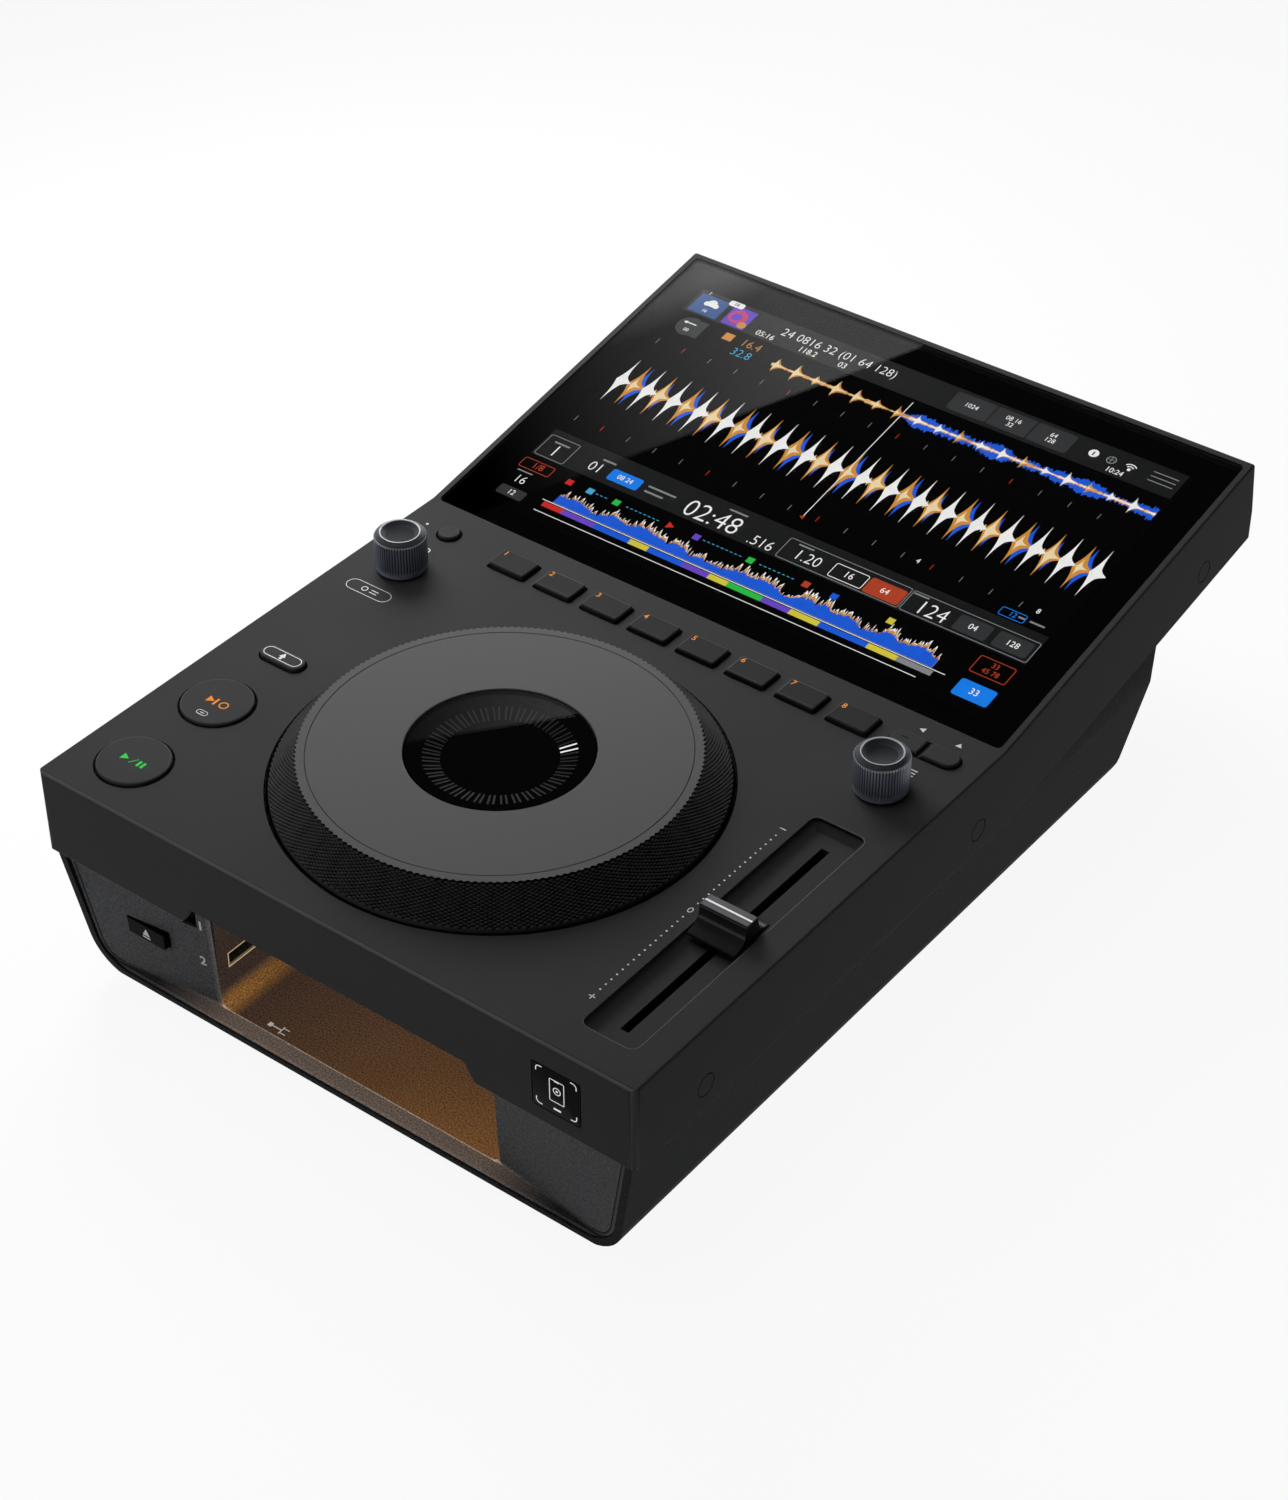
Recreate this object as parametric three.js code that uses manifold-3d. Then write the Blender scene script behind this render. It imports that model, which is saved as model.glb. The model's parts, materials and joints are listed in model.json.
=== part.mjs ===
// Tabletop DJ media player: a bent upper case with a jog wheel, a tempo fader and a sloping
// touch screen, standing on a drafted tray that holds the electronics and a front USB bay.
//
// Units are millimetres and +Z is up. The front faces -Y. The origin is the middle of the
// object's box on the table. Most pieces are drawn in the deck frame: x from the middle,
// y back from the front face, z up from the deck's top face. Pieces of the screen and of the
// rear wall are drawn in frames of their own, turned with those faces.

import * as THREE from 'three';
import { mergeVertices } from 'three/addons/utils/BufferGeometryUtils.js';
import Module from 'manifold-3d';

const wasm = await Module();
wasm.setup();

const degree = Math.PI / 180;

// Clearances and cutting overrun
const seatGap = 0.3;
const runGap = 0.4;
const overrun = 8;
const weldTolerance = 0.0001;

// Upper case
const caseWidth = 250;
const deckLength = 202.2;
const screenLength = 164.6;
const screenTilt = 10.4 * degree;
const caseThickness = 34;
const caseWall = 3;
const screenWall = 4;
const screenEndDraft = 1.5;
const edgeRound = 0.8;
const slabRound = 1.4;
const cornerRound = 3;
const bossRadius = 2.6;

// Notch in the front skirt, over the bay
const notchMargin = 2.3;
const notchHeight = 7.8;
const notchSlope = 4.7;

// Lower tray
const trayDepth = 84.1;
const trayInset = 2.2;
const trayDraft = 11.15 * degree;
const trayRound = 16.7;
const trayWall = 3;
const screenOverhang = 60.9;
const trayRearRound = 4;
const rimSetback = 2;
const rimLean = 4.7 * degree;
const rimEdgeRound = 1.2;
const rearLean = 5 * degree;
const tongueHeight = 6;
const tongueWall = 2;
const tongueFront = 9;
const tongueRearGap = 9;

// Feet
const footHeight = 3;
const footRadius = 9;
const footSeatDepth = 1;
const footEdge = 0.8;
const footSide = 41;
const footFrontY = 30;
const footRearInset = 25.9;

// Bay liner
const baySide = 64.3;
const bayFront = 12;
const bayDepth = 75;
const bayFloorRise = 4.8;
const bayCeilingDepth = 27;
const bayCornerRound = 4;
const linerWall = 2;
const wingWall = 2.5;
const wingOuterSide = 7;
const wingOuterY = 5.5;
const wingLean = 2.5 * degree;
const stripFront = 6.6;

// USB sockets and their board
const socketWidth = 13.1;
const socketHeight = 5.7;
const socketShell = 0.5;
const socketBack = 2;
const tongueSink = 1.5;
const tongueThickness = 1.8;
const socketY = 23.4;
const baySocketRise = 17.8;
const wingSocketDepth = 38.8;
const wingSocketLength = 14;
const usbBoardSetback = 12.3;
const usbBoardMargin = 8;

// Eject button on the left wing
const ejectWidth = 17;
const ejectHeight = 6.6;
const ejectSide = 36.4;
const ejectDepth = 57.4;
const ejectProud = 0.6;
const ejectBody = 7;
const ejectLip = 1.2;
const ejectLipThickness = 1.2;
const ejectTravel = 0.8;

// Deck buttons
const buttonEdge = 0.5;
const flangeWidth = 1;
const flangeThickness = 1.2;
const stemRadius = 2;
const pillFlat = 0.3;
const columnSide = 23;
const roundButtonRadius = 12.8;
const roundButtonRise = 1.2;
const roundButtonTravel = 1.2;
const playY = 22.5;
const cueY = 62.5;
const smallButtonTravel = 0.8;
const shiftSide = 24;
const shiftY = 94.2;
const shiftLength = 18.4;
const shiftWidth = 7.2;
const shiftRise = 1.6;
const deleteSide = 20.6;
const deleteFold = 15.2;
const deleteRadius = 4.1;
const deleteRise = 1.5;
const pairSide = 22;
const pairFold = 15.7;
const pairLength = 26.6;
const pairWidth = 8.2;
const pairBar = 1;
const pairRise = 1.5;

// Hot cue pads
const padCount = 8;
const padFirstSide = 52.2;
const padLastSide = 50.1;
const padFold = 16.6;
const padGap = 5.3;
const padDepth = 10.2;
const padRound = 0.9;
const padRise = 2;
const padTravel = 1;

// Rotary knobs and their encoders
const knobFold = 41.2;
const loopKnobSide = 20.4;
const browseKnobSide = 22.4;
const knobRadius = 9.5;
const knobFluteDepth = 0.45;
const knobFlutes = 24;
const knobBandHeight = 3.6;
const knobHeight = 15;
const knobRimHeight = 2.2;
const knobRimRadius = 8;
const knobDishRadius = 6.1;
const knobDishDepth = 1.8;
const knobCavityRadius = 7.4;
const knobCavityHeight = 4.5;
const knobLift = 0.9;
const shaftRadius = 3;
const shaftReach = 9.5;
const bushingRadius = 4.6;
const encoderSize = 12.4;
const encoderHeight = 6.5;

// Tempo fader
const faderSide = 21.4;
const faderY = 75.5;
const recessSideGap = 1.15;
const recessEndGap = 2.1;
const recessDepth = 4;
const recessFillet = 2.4;
const recessCorner = 3;
const recessWall = 2.4;
const slotWidth = 3.2;
const slotEndGap = 0.5;
const faderTravel = 100;
const leverWidth = 2.4;
const leverLength = 5;
const leverFoot = 7;
const leverTip = 4;
const faderBodyWidth = 12;
const faderBodyDepth = 11;
const faderBodyFloor = 2;
const faderBodyEnd = 5;
const capWidth = 18.4;
const capLength = 18.8;
const capRidge = 6.4;
const capBase = -1.2;
const capHeight = 8.6;
const capFootHeight = 1.6;
const capEdge = 0.6;

// Touch window on the front skirt
const touchWindowSide = 30.1;
const touchWindowWidth = 18.6;
const touchWindowHeight = 17.9;
const touchWindowDepth = 18.2;
const touchWindowThickness = 1.2;
const touchWindowRound = 1;

// Side caps over the case screws, measured from the top face
const sideCapRadius = 4;
const sideCapThickness = 1.1;
const sideCapDepth = 24.2;
const sideCapDeckYs = [35.5, 187.9];
const sideCapScreenY = 129;

// Control board
const boardThickness = 1.6;
const boardDepth = 16.8;
const boardSide = 7;
const boardLeftArm = 30;
const boardRightArm = 25;
const boardFrontY = 9;
const boardFold = 2.7;
const boardStripMargin = 8;
const boardRightMargin = 14;
const switchSize = 6;
const switchHeight = 3.4;

// Jog wheel
const jogSegments = 48;
const jogHoleSegments = 72;
const jogInnerSegments = 36;
const jogSide = 47.5;
const jogFront = 12.4;
const jogBack = 13.1;
const jogRimGap = 1.1;
const jogTop = 12.5;
const jogPlateSetback = 0.6;
const jogPlateThickness = 1.6;
const jogPlateRing = 34.3;
const jogConeWidth = 9.5;
const jogConeDrop = 0.9;
const jogConeBase = 0.8;
const jogWebBottom = -4;
const jogWebThickness = 2;
const jogConeWall = 2.6;
const jogSeatWidth = 8;
const jogHubWall = 3;
const jogHubDrop = 5;
const jogWindowGap = 0.6;
const jogWindowThickness = 1.7;
const jogWindowSink = 0.3;
const jogDisplaySetback = 1.6;
const jogDisplayThickness = 2.4;
const jogPostSetback = 1.4;
const jogPostWall = 3.5;
const jogBearingWall = 5.7;
const jogBearingHeight = 6;
const jogBaseLip = 8.5;
const jogBaseWall = 2.4;
const jogBaseDepth = 16.2;
const jogBaseFloor = 2;
const jogDiscSetback = 1.45;
const jogDiscThickness = 1;
const sensorLength = 12;
const sensorWidth = 8;
const sensorOverlap = 5;
const sensorSlot = 2.4;
const sensorHeight = 8.6;

// Screen stack
const glassSide = 2.9;
const glassEnds = 3.4;
const glassThickness = 1.5;
const glassCorner = 2;
const panelSide = 8.1;
const panelEnds = 12.2;
const panelThickness = 4.6;
const panelShift = 2.6;
const bracketLip = 4.5;
const bracketThickness = 1.5;
const bracketRimWall = 1.6;

// Cover under the overhanging screen
const coverThickness = 2.5;
const coverOverlap = 5;

// Main board and power supply
const mainBoardHeight = 6;
const mainBoardSide = 21;
const mainBoardGap = 8;
const mainBoardFront = 102;
const mainBoardBack = 23.9;
const mainBossInset = 8;
const mainBossRadius = 3.5;
const heatSinkInset = 62;
const heatSinkFront = 88;
const heatSinkSize = 44;
const heatSinkHeight = 14;
const finCount = 7;
const finThickness = 2;
const finBase = 3;
const chipSize = 18;
const chipHeight = 2;
const supplySide = 28;
const supplyWidth = 37;
const supplyFront = 130;
const supplyBack = 43.9;
const supplyHeight = 32;
const supplyStepLength = 22;
const supplyStepHeight = 16;

// Rear sockets and switch, in the rear wall's frame
const rearRowSink = 1.95;
const inletSide = 43;
const inletWidth = 27;
const inletHeight = 20;
const inletDepth = 18;
const inletFlange = 2.2;
const inletFlangeThickness = 1.6;
const inletWellWidth = 23.4;
const inletWellHeight = 15.6;
const inletWellDepth = 15;
const inletPinWidth = 2;
const inletPinHeight = 4;
const inletPinLength = 11;
const inletPinPitch = 7;
const inletPinDrop = 3.4;
const powerButtonSide = 73;
const powerButtonRadius = 5.4;
const powerButtonProud = 0.8;
const powerButtonBody = 5;
const powerButtonTravel = 2.4;
const jacksSide = 105;
const jackPitch = 15;
const jackRadius = 4.2;
const jackBore = 1.7;
const jackReach = 8;
const jackBoreDepth = 9;
const jackBlockMargin = 7;
const jackBlockHeight = 14;
const jackBlockDepth = 10;
const netPortSide = 59;
const netPortWidth = 16;
const netPortHeight = 13.4;
const netPortDepth = 18;
const netPortReach = 0.6;
const netWellWidth = 11.8;
const netWellHeight = 8;
const netWellDepth = 13;

// Worked-out sizes and frames
const halfWidth = caseWidth / 2;
const trayLength = deckLength + screenLength - screenOverhang;
const footX = halfWidth - footSide;
const footRearY = trayLength - footRearInset;
const bayWidth = caseWidth - 2 * baySide;
const bayHalf = bayWidth / 2;
const bayFloorDepth = trayDepth - bayFloorRise;
const baySocketDepth = bayFloorDepth - baySocketRise;
const notchWidth = bayWidth + 2 * notchMargin;
const wingOuterX = halfWidth - wingOuterSide;
const usbBoardX = -bayHalf - usbBoardSetback;
const ejectX = ejectSide - halfWidth;
const columnX = columnSide - halfWidth;
const shiftX = shiftSide - halfWidth;
const deleteX = deleteSide - halfWidth;
const deleteY = deckLength - deleteFold;
const pairX = halfWidth - pairSide;
const pairY = deckLength - pairFold;
const padFirstX = padFirstSide - halfWidth;
const padPitch = (caseWidth - padFirstSide - padLastSide) / (padCount - 1);
const padWidth = padPitch - padGap;
const padY = deckLength - padFold;
const knobY = deckLength - knobFold;
const loopKnobX = loopKnobSide - halfWidth;
const browseKnobX = halfWidth - browseKnobSide;
const faderX = halfWidth - faderSide;
const touchWindowX = halfWidth - touchWindowSide;
const boardEdge = halfWidth - boardSide;
const boardInnerX = boardLeftArm - boardEdge;
const boardRightX = boardEdge - boardRightArm;
const boardBackY = deckLength - boardFold;
const boardStripY = padY - boardStripMargin;
const boardRightY = knobY - boardRightMargin;
const jogRoomWidth = caseWidth - 2 * jogSide;
const jogRoomDepth = padY - padDepth / 2 - jogBack - jogFront;
const jogHoleRadius = Math.min(jogRoomWidth, jogRoomDepth) / 2;
const jogY = jogFront + jogHoleRadius;
const jogOuterRadius = jogHoleRadius - jogRimGap;
const jogConeTopRadius = jogOuterRadius - jogConeWidth;
const jogPlateRadius = jogConeTopRadius - jogPlateSetback;
const jogPlateHole = jogPlateRadius - jogPlateRing;
const jogWindowRadius = jogPlateHole - jogWindowGap;
const jogPostRadius = jogWindowRadius - jogPostSetback;
const jogPostBore = jogPostRadius - jogPostWall;
const jogDisplayRadius = jogPostRadius - jogDisplaySetback;
const jogBaseRadius = jogHoleRadius + jogBaseLip;
const glassWidth = caseWidth - 2 * glassSide;
const panelWidth = glassWidth - 2 * panelSide;
const glassLength = screenLength - glassEnds;
const panelHeight = glassLength - panelEnds;
const panelY = glassLength / 2 - panelShift;
const supplyX = [supplySide - halfWidth, supplySide + supplyWidth - halfWidth];
const mainBoardX = [supplyX[1] + mainBoardGap, halfWidth - mainBoardSide];
const heatSinkX = mainBoardX[0] + heatSinkInset;
const mainBoardY = [mainBoardFront, trayLength - mainBoardBack];
const heatSinkY = mainBoardY[0] + heatSinkFront;
const supplyY = [supplyFront, trayLength - supplyBack];
const rearRowDrop = (trayDepth - caseThickness) / 2 + rearRowSink;
const inletX = inletSide - halfWidth;
const powerButtonX = powerButtonSide - halfWidth;
const jacksX = halfWidth - jacksSide;
const netPortX = halfWidth - netPortSide;
const slotLength = faderTravel + leverLength + 2 * slotEndGap;
const recessLength = faderTravel + capLength + 2 * recessEndGap;
const recessWidth = capWidth + 2 * recessSideGap;
const ejectReach = ejectTravel + ejectProud;
const powerButtonReach = powerButtonTravel + powerButtonProud;
const innerHalf = halfWidth - caseWall;
const screenEnd = screenLength - screenEndDraft;
const overallLength = deckLength + screenEnd * Math.cos(screenTilt) + caseThickness * Math.sin(screenTilt);
const deckHeight = trayDepth + footHeight;
const switchTop = -boardDepth + switchHeight;
const flangeTop = -caseWall - seatGap;
const plateBottom = jogTop - jogPlateThickness;
const rimSeat = plateBottom - seatGap;
const windowTop = jogTop - jogWindowSink;
const postTop = windowTop - jogWindowThickness - seatGap;
const hubBore = jogPostRadius + seatGap + jogBearingWall + seatGap;
const hubRadius = hubBore + jogHubWall;
const jogDiscRadius = (hubRadius + jogBaseRadius - jogBaseWall) / 2 - jogDiscSetback;
const hubBottom = jogWebBottom - jogHubDrop;
const recessUnderside = -recessDepth - recessWall;
const bayBack = bayFront + bayDepth;
const trayFloor = -trayDepth + trayWall;
const mainBoardTop = trayFloor + mainBoardHeight + seatGap + boardThickness;
const wingSocketX = usbBoardX + seatGap + socketHeight / 2;
const wingSlope = (bayFront - wingOuterY) / (wingOuterX - bayHalf);

const deckFrame = new THREE.Matrix4().makeTranslation(0, -overallLength / 2, deckHeight);
const screenFrame = new THREE.Matrix4()
  .makeTranslation(0, deckLength, 0)
  .multiply(new THREE.Matrix4().makeRotationX(screenTilt));
const rearFrame = new THREE.Matrix4()
  .makeTranslation(0, trayLength, -caseThickness)
  .multiply(new THREE.Matrix4().makeRotationX(-rearLean));

// Solid from a closed geometry: welded, without collapsed faces, facing outwards
function solid(geometry, frame = new THREE.Matrix4()) {
  const bare = geometry.clone();
  bare.deleteAttribute('normal');
  bare.deleteAttribute('uv');
  bare.applyMatrix4(frame);
  const welded = mergeVertices(bare, weldTolerance);
  const points = welded.attributes.position;
  const corners = welded.index.array;
  const faces = [];
  const [a, b, c] = [new THREE.Vector3(), new THREE.Vector3(), new THREE.Vector3()];
  let volume = 0;
  for (let i = 0; i < corners.length; i += 3) {
    const [p, q, r] = corners.slice(i, i + 3);
    if (p === q || q === r || r === p) continue;
    faces.push([p, q, r]);
    a.fromBufferAttribute(points, p);
    b.fromBufferAttribute(points, q);
    c.fromBufferAttribute(points, r);
    volume += a.dot(b.cross(c));
  }
  const outward = volume < 0 ? faces.map(([p, q, r]) => [p, r, q]) : faces;
  return new wasm.Manifold(new wasm.Mesh({
    numProp: 3,
    vertProperties: Float32Array.from(points.array),
    triVerts: Uint32Array.from(outward.flat()),
  }));
}

function join(...solids) {
  return solids.reduce((whole, next) => whole.add(next));
}

function cut(body, ...tools) {
  return body.subtract(join(...tools));
}

// Named mesh from a solid, in one of the frames
function piece(name, body, material, group) {
  const { vertProperties, triVerts } = body.getMesh();
  const geometry = new THREE.BufferGeometry();
  geometry.setAttribute('position', new THREE.BufferAttribute(Float32Array.from(vertProperties), 3));
  geometry.setIndex(new THREE.BufferAttribute(Uint32Array.from(triVerts), 1));
  geometry.computeVertexNormals();
  const mesh = new THREE.Mesh(geometry, new THREE.MeshStandardMaterial(material));
  mesh.name = name;
  group.add(mesh);
}

// Closed outline through corners given as [across, up, rounding]
function outline(corners) {
  const shape = new THREE.Shape();
  corners.forEach(([x, y, radius = 0], i) => {
    const here = new THREE.Vector2(x, y);
    const [beforeX, beforeY] = corners.at(i - 1);
    const [afterX, afterY] = corners[(i + 1) % corners.length];
    const back = new THREE.Vector2(beforeX, beforeY).sub(here).normalize();
    const ahead = new THREE.Vector2(afterX, afterY).sub(here).normalize();
    const halfAngle = Math.acos(back.dot(ahead)) / 2;
    const reach = radius / Math.tan(halfAngle);
    const first = here.clone().addScaledVector(back, reach);
    if (i === 0) shape.moveTo(first.x, first.y);
    else shape.lineTo(first.x, first.y);
    if (radius <= 0) return;
    const middle = back.clone().add(ahead).normalize();
    const centre = here.clone().addScaledVector(middle, radius / Math.sin(halfAngle));
    const start = first.sub(centre).angle();
    const end = here.clone().addScaledVector(ahead, reach).sub(centre).angle();
    shape.absarc(centre.x, centre.y, radius, start, end, back.cross(ahead) > 0);
  });
  return shape;
}

function rectangle(width, height, radius = 0, x = 0, y = 0) {
  const [w, h] = [width / 2, height / 2];
  return outline([
    [x - w, y - h, radius],
    [x + w, y - h, radius],
    [x + w, y + h, radius],
    [x - w, y + h, radius],
  ]);
}

function circle(radius, segments, x = 0, y = 0) {
  const shape = new THREE.Shape();
  for (let i = 0; i < segments; i += 1) {
    const turn = 2 * Math.PI * i / segments;
    const [px, py] = [x + radius * Math.cos(turn), y + radius * Math.sin(turn)];
    if (i === 0) shape.moveTo(px, py);
    else shape.lineTo(px, py);
  }
  return shape;
}

// Outline raised along Z, from bottom to top
function raise(shape, bottom, top, edge = 0, curveSegments = 2, bevelSegments = 1) {
  return new THREE.ExtrudeGeometry(shape, {
    depth: top - bottom - 2 * edge,
    bevelEnabled: edge > 0,
    bevelThickness: edge,
    bevelSize: edge,
    bevelOffset: -edge,
    bevelSegments,
    curveSegments,
  }).translate(0, 0, bottom + edge);
}

// Outline drawn in y and z, run along X
function runX(shape, left, right, edge = 0, curveSegments = 2, bevelSegments = 1) {
  const turn = new THREE.Matrix4().makeBasis(
    new THREE.Vector3(0, 1, 0), new THREE.Vector3(0, 0, 1), new THREE.Vector3(1, 0, 0));
  return raise(shape, left, right, edge, curveSegments, bevelSegments).applyMatrix4(turn);
}

// Outline drawn in x and z, run along Y
function runY(shape, front, back, curveSegments = 2) {
  const turn = new THREE.Matrix4().makeBasis(
    new THREE.Vector3(1, 0, 0), new THREE.Vector3(0, 0, 1), new THREE.Vector3(0, -1, 0));
  return raise(shape, -back, -front, 0, curveSegments).applyMatrix4(turn);
}

function block([left, right], [front, back], [bottom, top]) {
  return new THREE.BoxGeometry(right - left, back - front, top - bottom)
    .translate((left + right) / 2, (front + back) / 2, (bottom + top) / 2);
}

function around(middle, size) {
  return [middle - size / 2, middle + size / 2];
}

function rod(radius, x, y, bottom, top, segments = 16) {
  return raise(circle(radius, segments, x, y), bottom, top);
}

function rodX(radius, y, z, left, right, segments = 16) {
  return runX(circle(radius, segments, y, z), left, right);
}

function rodY(radius, x, z, front, back, segments = 16) {
  return runY(circle(radius, segments, x, z), front, back);
}

// Profile of radii and heights turned about a vertical axis
function turned(profile, segments, x = 0, y = 0) {
  const points = profile.map(([radius, height]) => new THREE.Vector2(radius, height));
  return new THREE.LatheGeometry(points, segments).rotateX(Math.PI / 2).translate(x, y, 0);
}

function ring(profile, segments, x, y) {
  return turned([...profile, profile[0]], segments, x, y);
}

// Side view of the bent slab between two depths under its top face
function slabOutline(deckTop, screenTop, bottom, frontInset, backInset, round = 0) {
  const onScreen = (along, depth) => [
    deckLength + along * Math.cos(screenTilt) + depth * Math.sin(screenTilt),
    along * Math.sin(screenTilt) - depth * Math.cos(screenTilt),
  ];
  const foldAlong = (screenTop * Math.cos(screenTilt) - deckTop) / Math.sin(screenTilt);
  const end = screenLength - backInset;
  return outline([
    [frontInset, -bottom, round],
    [deckLength + bottom * Math.tan(screenTilt / 2), -bottom],
    [...onScreen(end - screenEndDraft, bottom), round],
    [...onScreen(end, screenTop), round],
    onScreen(foldAlong, screenTop),
    [frontInset, -deckTop, round],
  ]);
}

// Front view of the tray, moved inwards by a wall
function traySection(inwards, top) {
  const side = halfWidth - trayInset - inwards;
  const kink = -caseThickness + inwards * Math.tan(trayDraft / 2);
  const bottom = -trayDepth + inwards;
  const low = side - (kink - bottom) * Math.tan(trayDraft);
  return outline([
    [-low, bottom, trayRound - inwards],
    [low, bottom, trayRound - inwards],
    [side, kink],
    [side, top],
    [-side, top],
    [-side, kink],
  ]);
}

// Side view of the tray between its leaning rim and its rear wall
function trayProfile(inwards, rimY) {
  const bottom = -trayDepth + inwards;
  const rearAt = (z) => trayLength - inwards / Math.cos(rearLean) + (z + caseThickness) * Math.tan(rearLean);
  const top = caseThickness;
  return outline([
    [rimY(bottom), bottom, inwards > 0 ? 0 : rimEdgeRound],
    [rearAt(bottom), bottom, trayRearRound],
    [rearAt(top), top],
    [rimY(top), top],
  ]);
}

// Buttons of the deck: an outline that can grow, and how far each stands up and travels
function pill(length, width) {
  return rectangle(length, width, width / 2 - pillFlat);
}

function halfPill(side, grow) {
  const round = pairWidth / 2 + grow;
  const inner = side * (pairBar / 2 + runGap - Math.min(grow, runGap));
  const outer = side * (pairLength / 2 + grow);
  const corners = [
    [inner, -round],
    [outer, -round, round - pillFlat],
    [outer, round, round - pillFlat],
    [inner, round],
  ];
  return outline(side > 0 ? corners : corners.reverse());
}

const pads = Array.from({ length: padCount }, (_, i) => ({
  name: `hot_cue_pad_${i + 1}`,
  x: padFirstX + padPitch * i,
  y: padY,
  shape: (grow) => rectangle(padWidth + 2 * grow, padDepth + 2 * grow, padRound),
  rise: padRise,
  travel: padTravel,
}));

const deckButtons = [
  {
    name: 'play_button', x: columnX, y: playY, rise: roundButtonRise, travel: roundButtonTravel,
    shape: (grow) => circle(roundButtonRadius + grow, 32),
  },
  {
    name: 'cue_button', x: columnX, y: cueY, rise: roundButtonRise, travel: roundButtonTravel,
    shape: (grow) => circle(roundButtonRadius + grow, 32),
  },
  {
    name: 'shift_button', x: shiftX, y: shiftY, rise: shiftRise, travel: smallButtonTravel,
    shape: (grow) => pill(shiftLength + 2 * grow, shiftWidth + 2 * grow),
  },
  {
    name: 'delete_button', x: deleteX, y: deleteY, rise: deleteRise, travel: smallButtonTravel,
    shape: (grow) => circle(deleteRadius + grow, 20),
  },
  {
    name: 'back_button', x: pairX, y: pairY, rise: pairRise, travel: smallButtonTravel,
    shape: (grow) => halfPill(-1, grow), stemX: -pairLength / 4,
  },
  {
    name: 'tag_button', x: pairX, y: pairY, rise: pairRise, travel: smallButtonTravel,
    shape: (grow) => halfPill(1, grow), stemX: pairLength / 4,
  },
  ...pads,
];

const knobs = [
  { name: 'loop', x: loopKnobX },
  { name: 'browse', x: browseKnobX },
];

const boardBosses = [
  [-boardEdge + bossRadius, (playY + cueY) / 2],
  [boardInnerX - bossRadius, (playY + cueY) / 2],
  [-boardEdge + bossRadius, (shiftY + knobY) / 2],
  [boardInnerX - bossRadius, (shiftY + knobY) / 2],
  [-boardEdge + bossRadius, boardBackY - bossRadius],
  [padFirstX + padPitch * 1.5, boardBackY - bossRadius],
  [padFirstX + padPitch * 5.5, boardBackY - bossRadius],
  [boardEdge - bossRadius, boardBackY - bossRadius],
  [boardRightX + bossRadius, boardRightY + bossRadius],
  [boardEdge - bossRadius, boardRightY + bossRadius],
];

const sideCaps = [
  ...sideCapDeckYs.map((y) => ({ y, z: -sideCapDepth })),
  {
    y: deckLength + sideCapScreenY * Math.cos(screenTilt) + sideCapDepth * Math.sin(screenTilt),
    z: sideCapScreenY * Math.sin(screenTilt) - sideCapDepth * Math.cos(screenTilt),
  },
];

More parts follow.
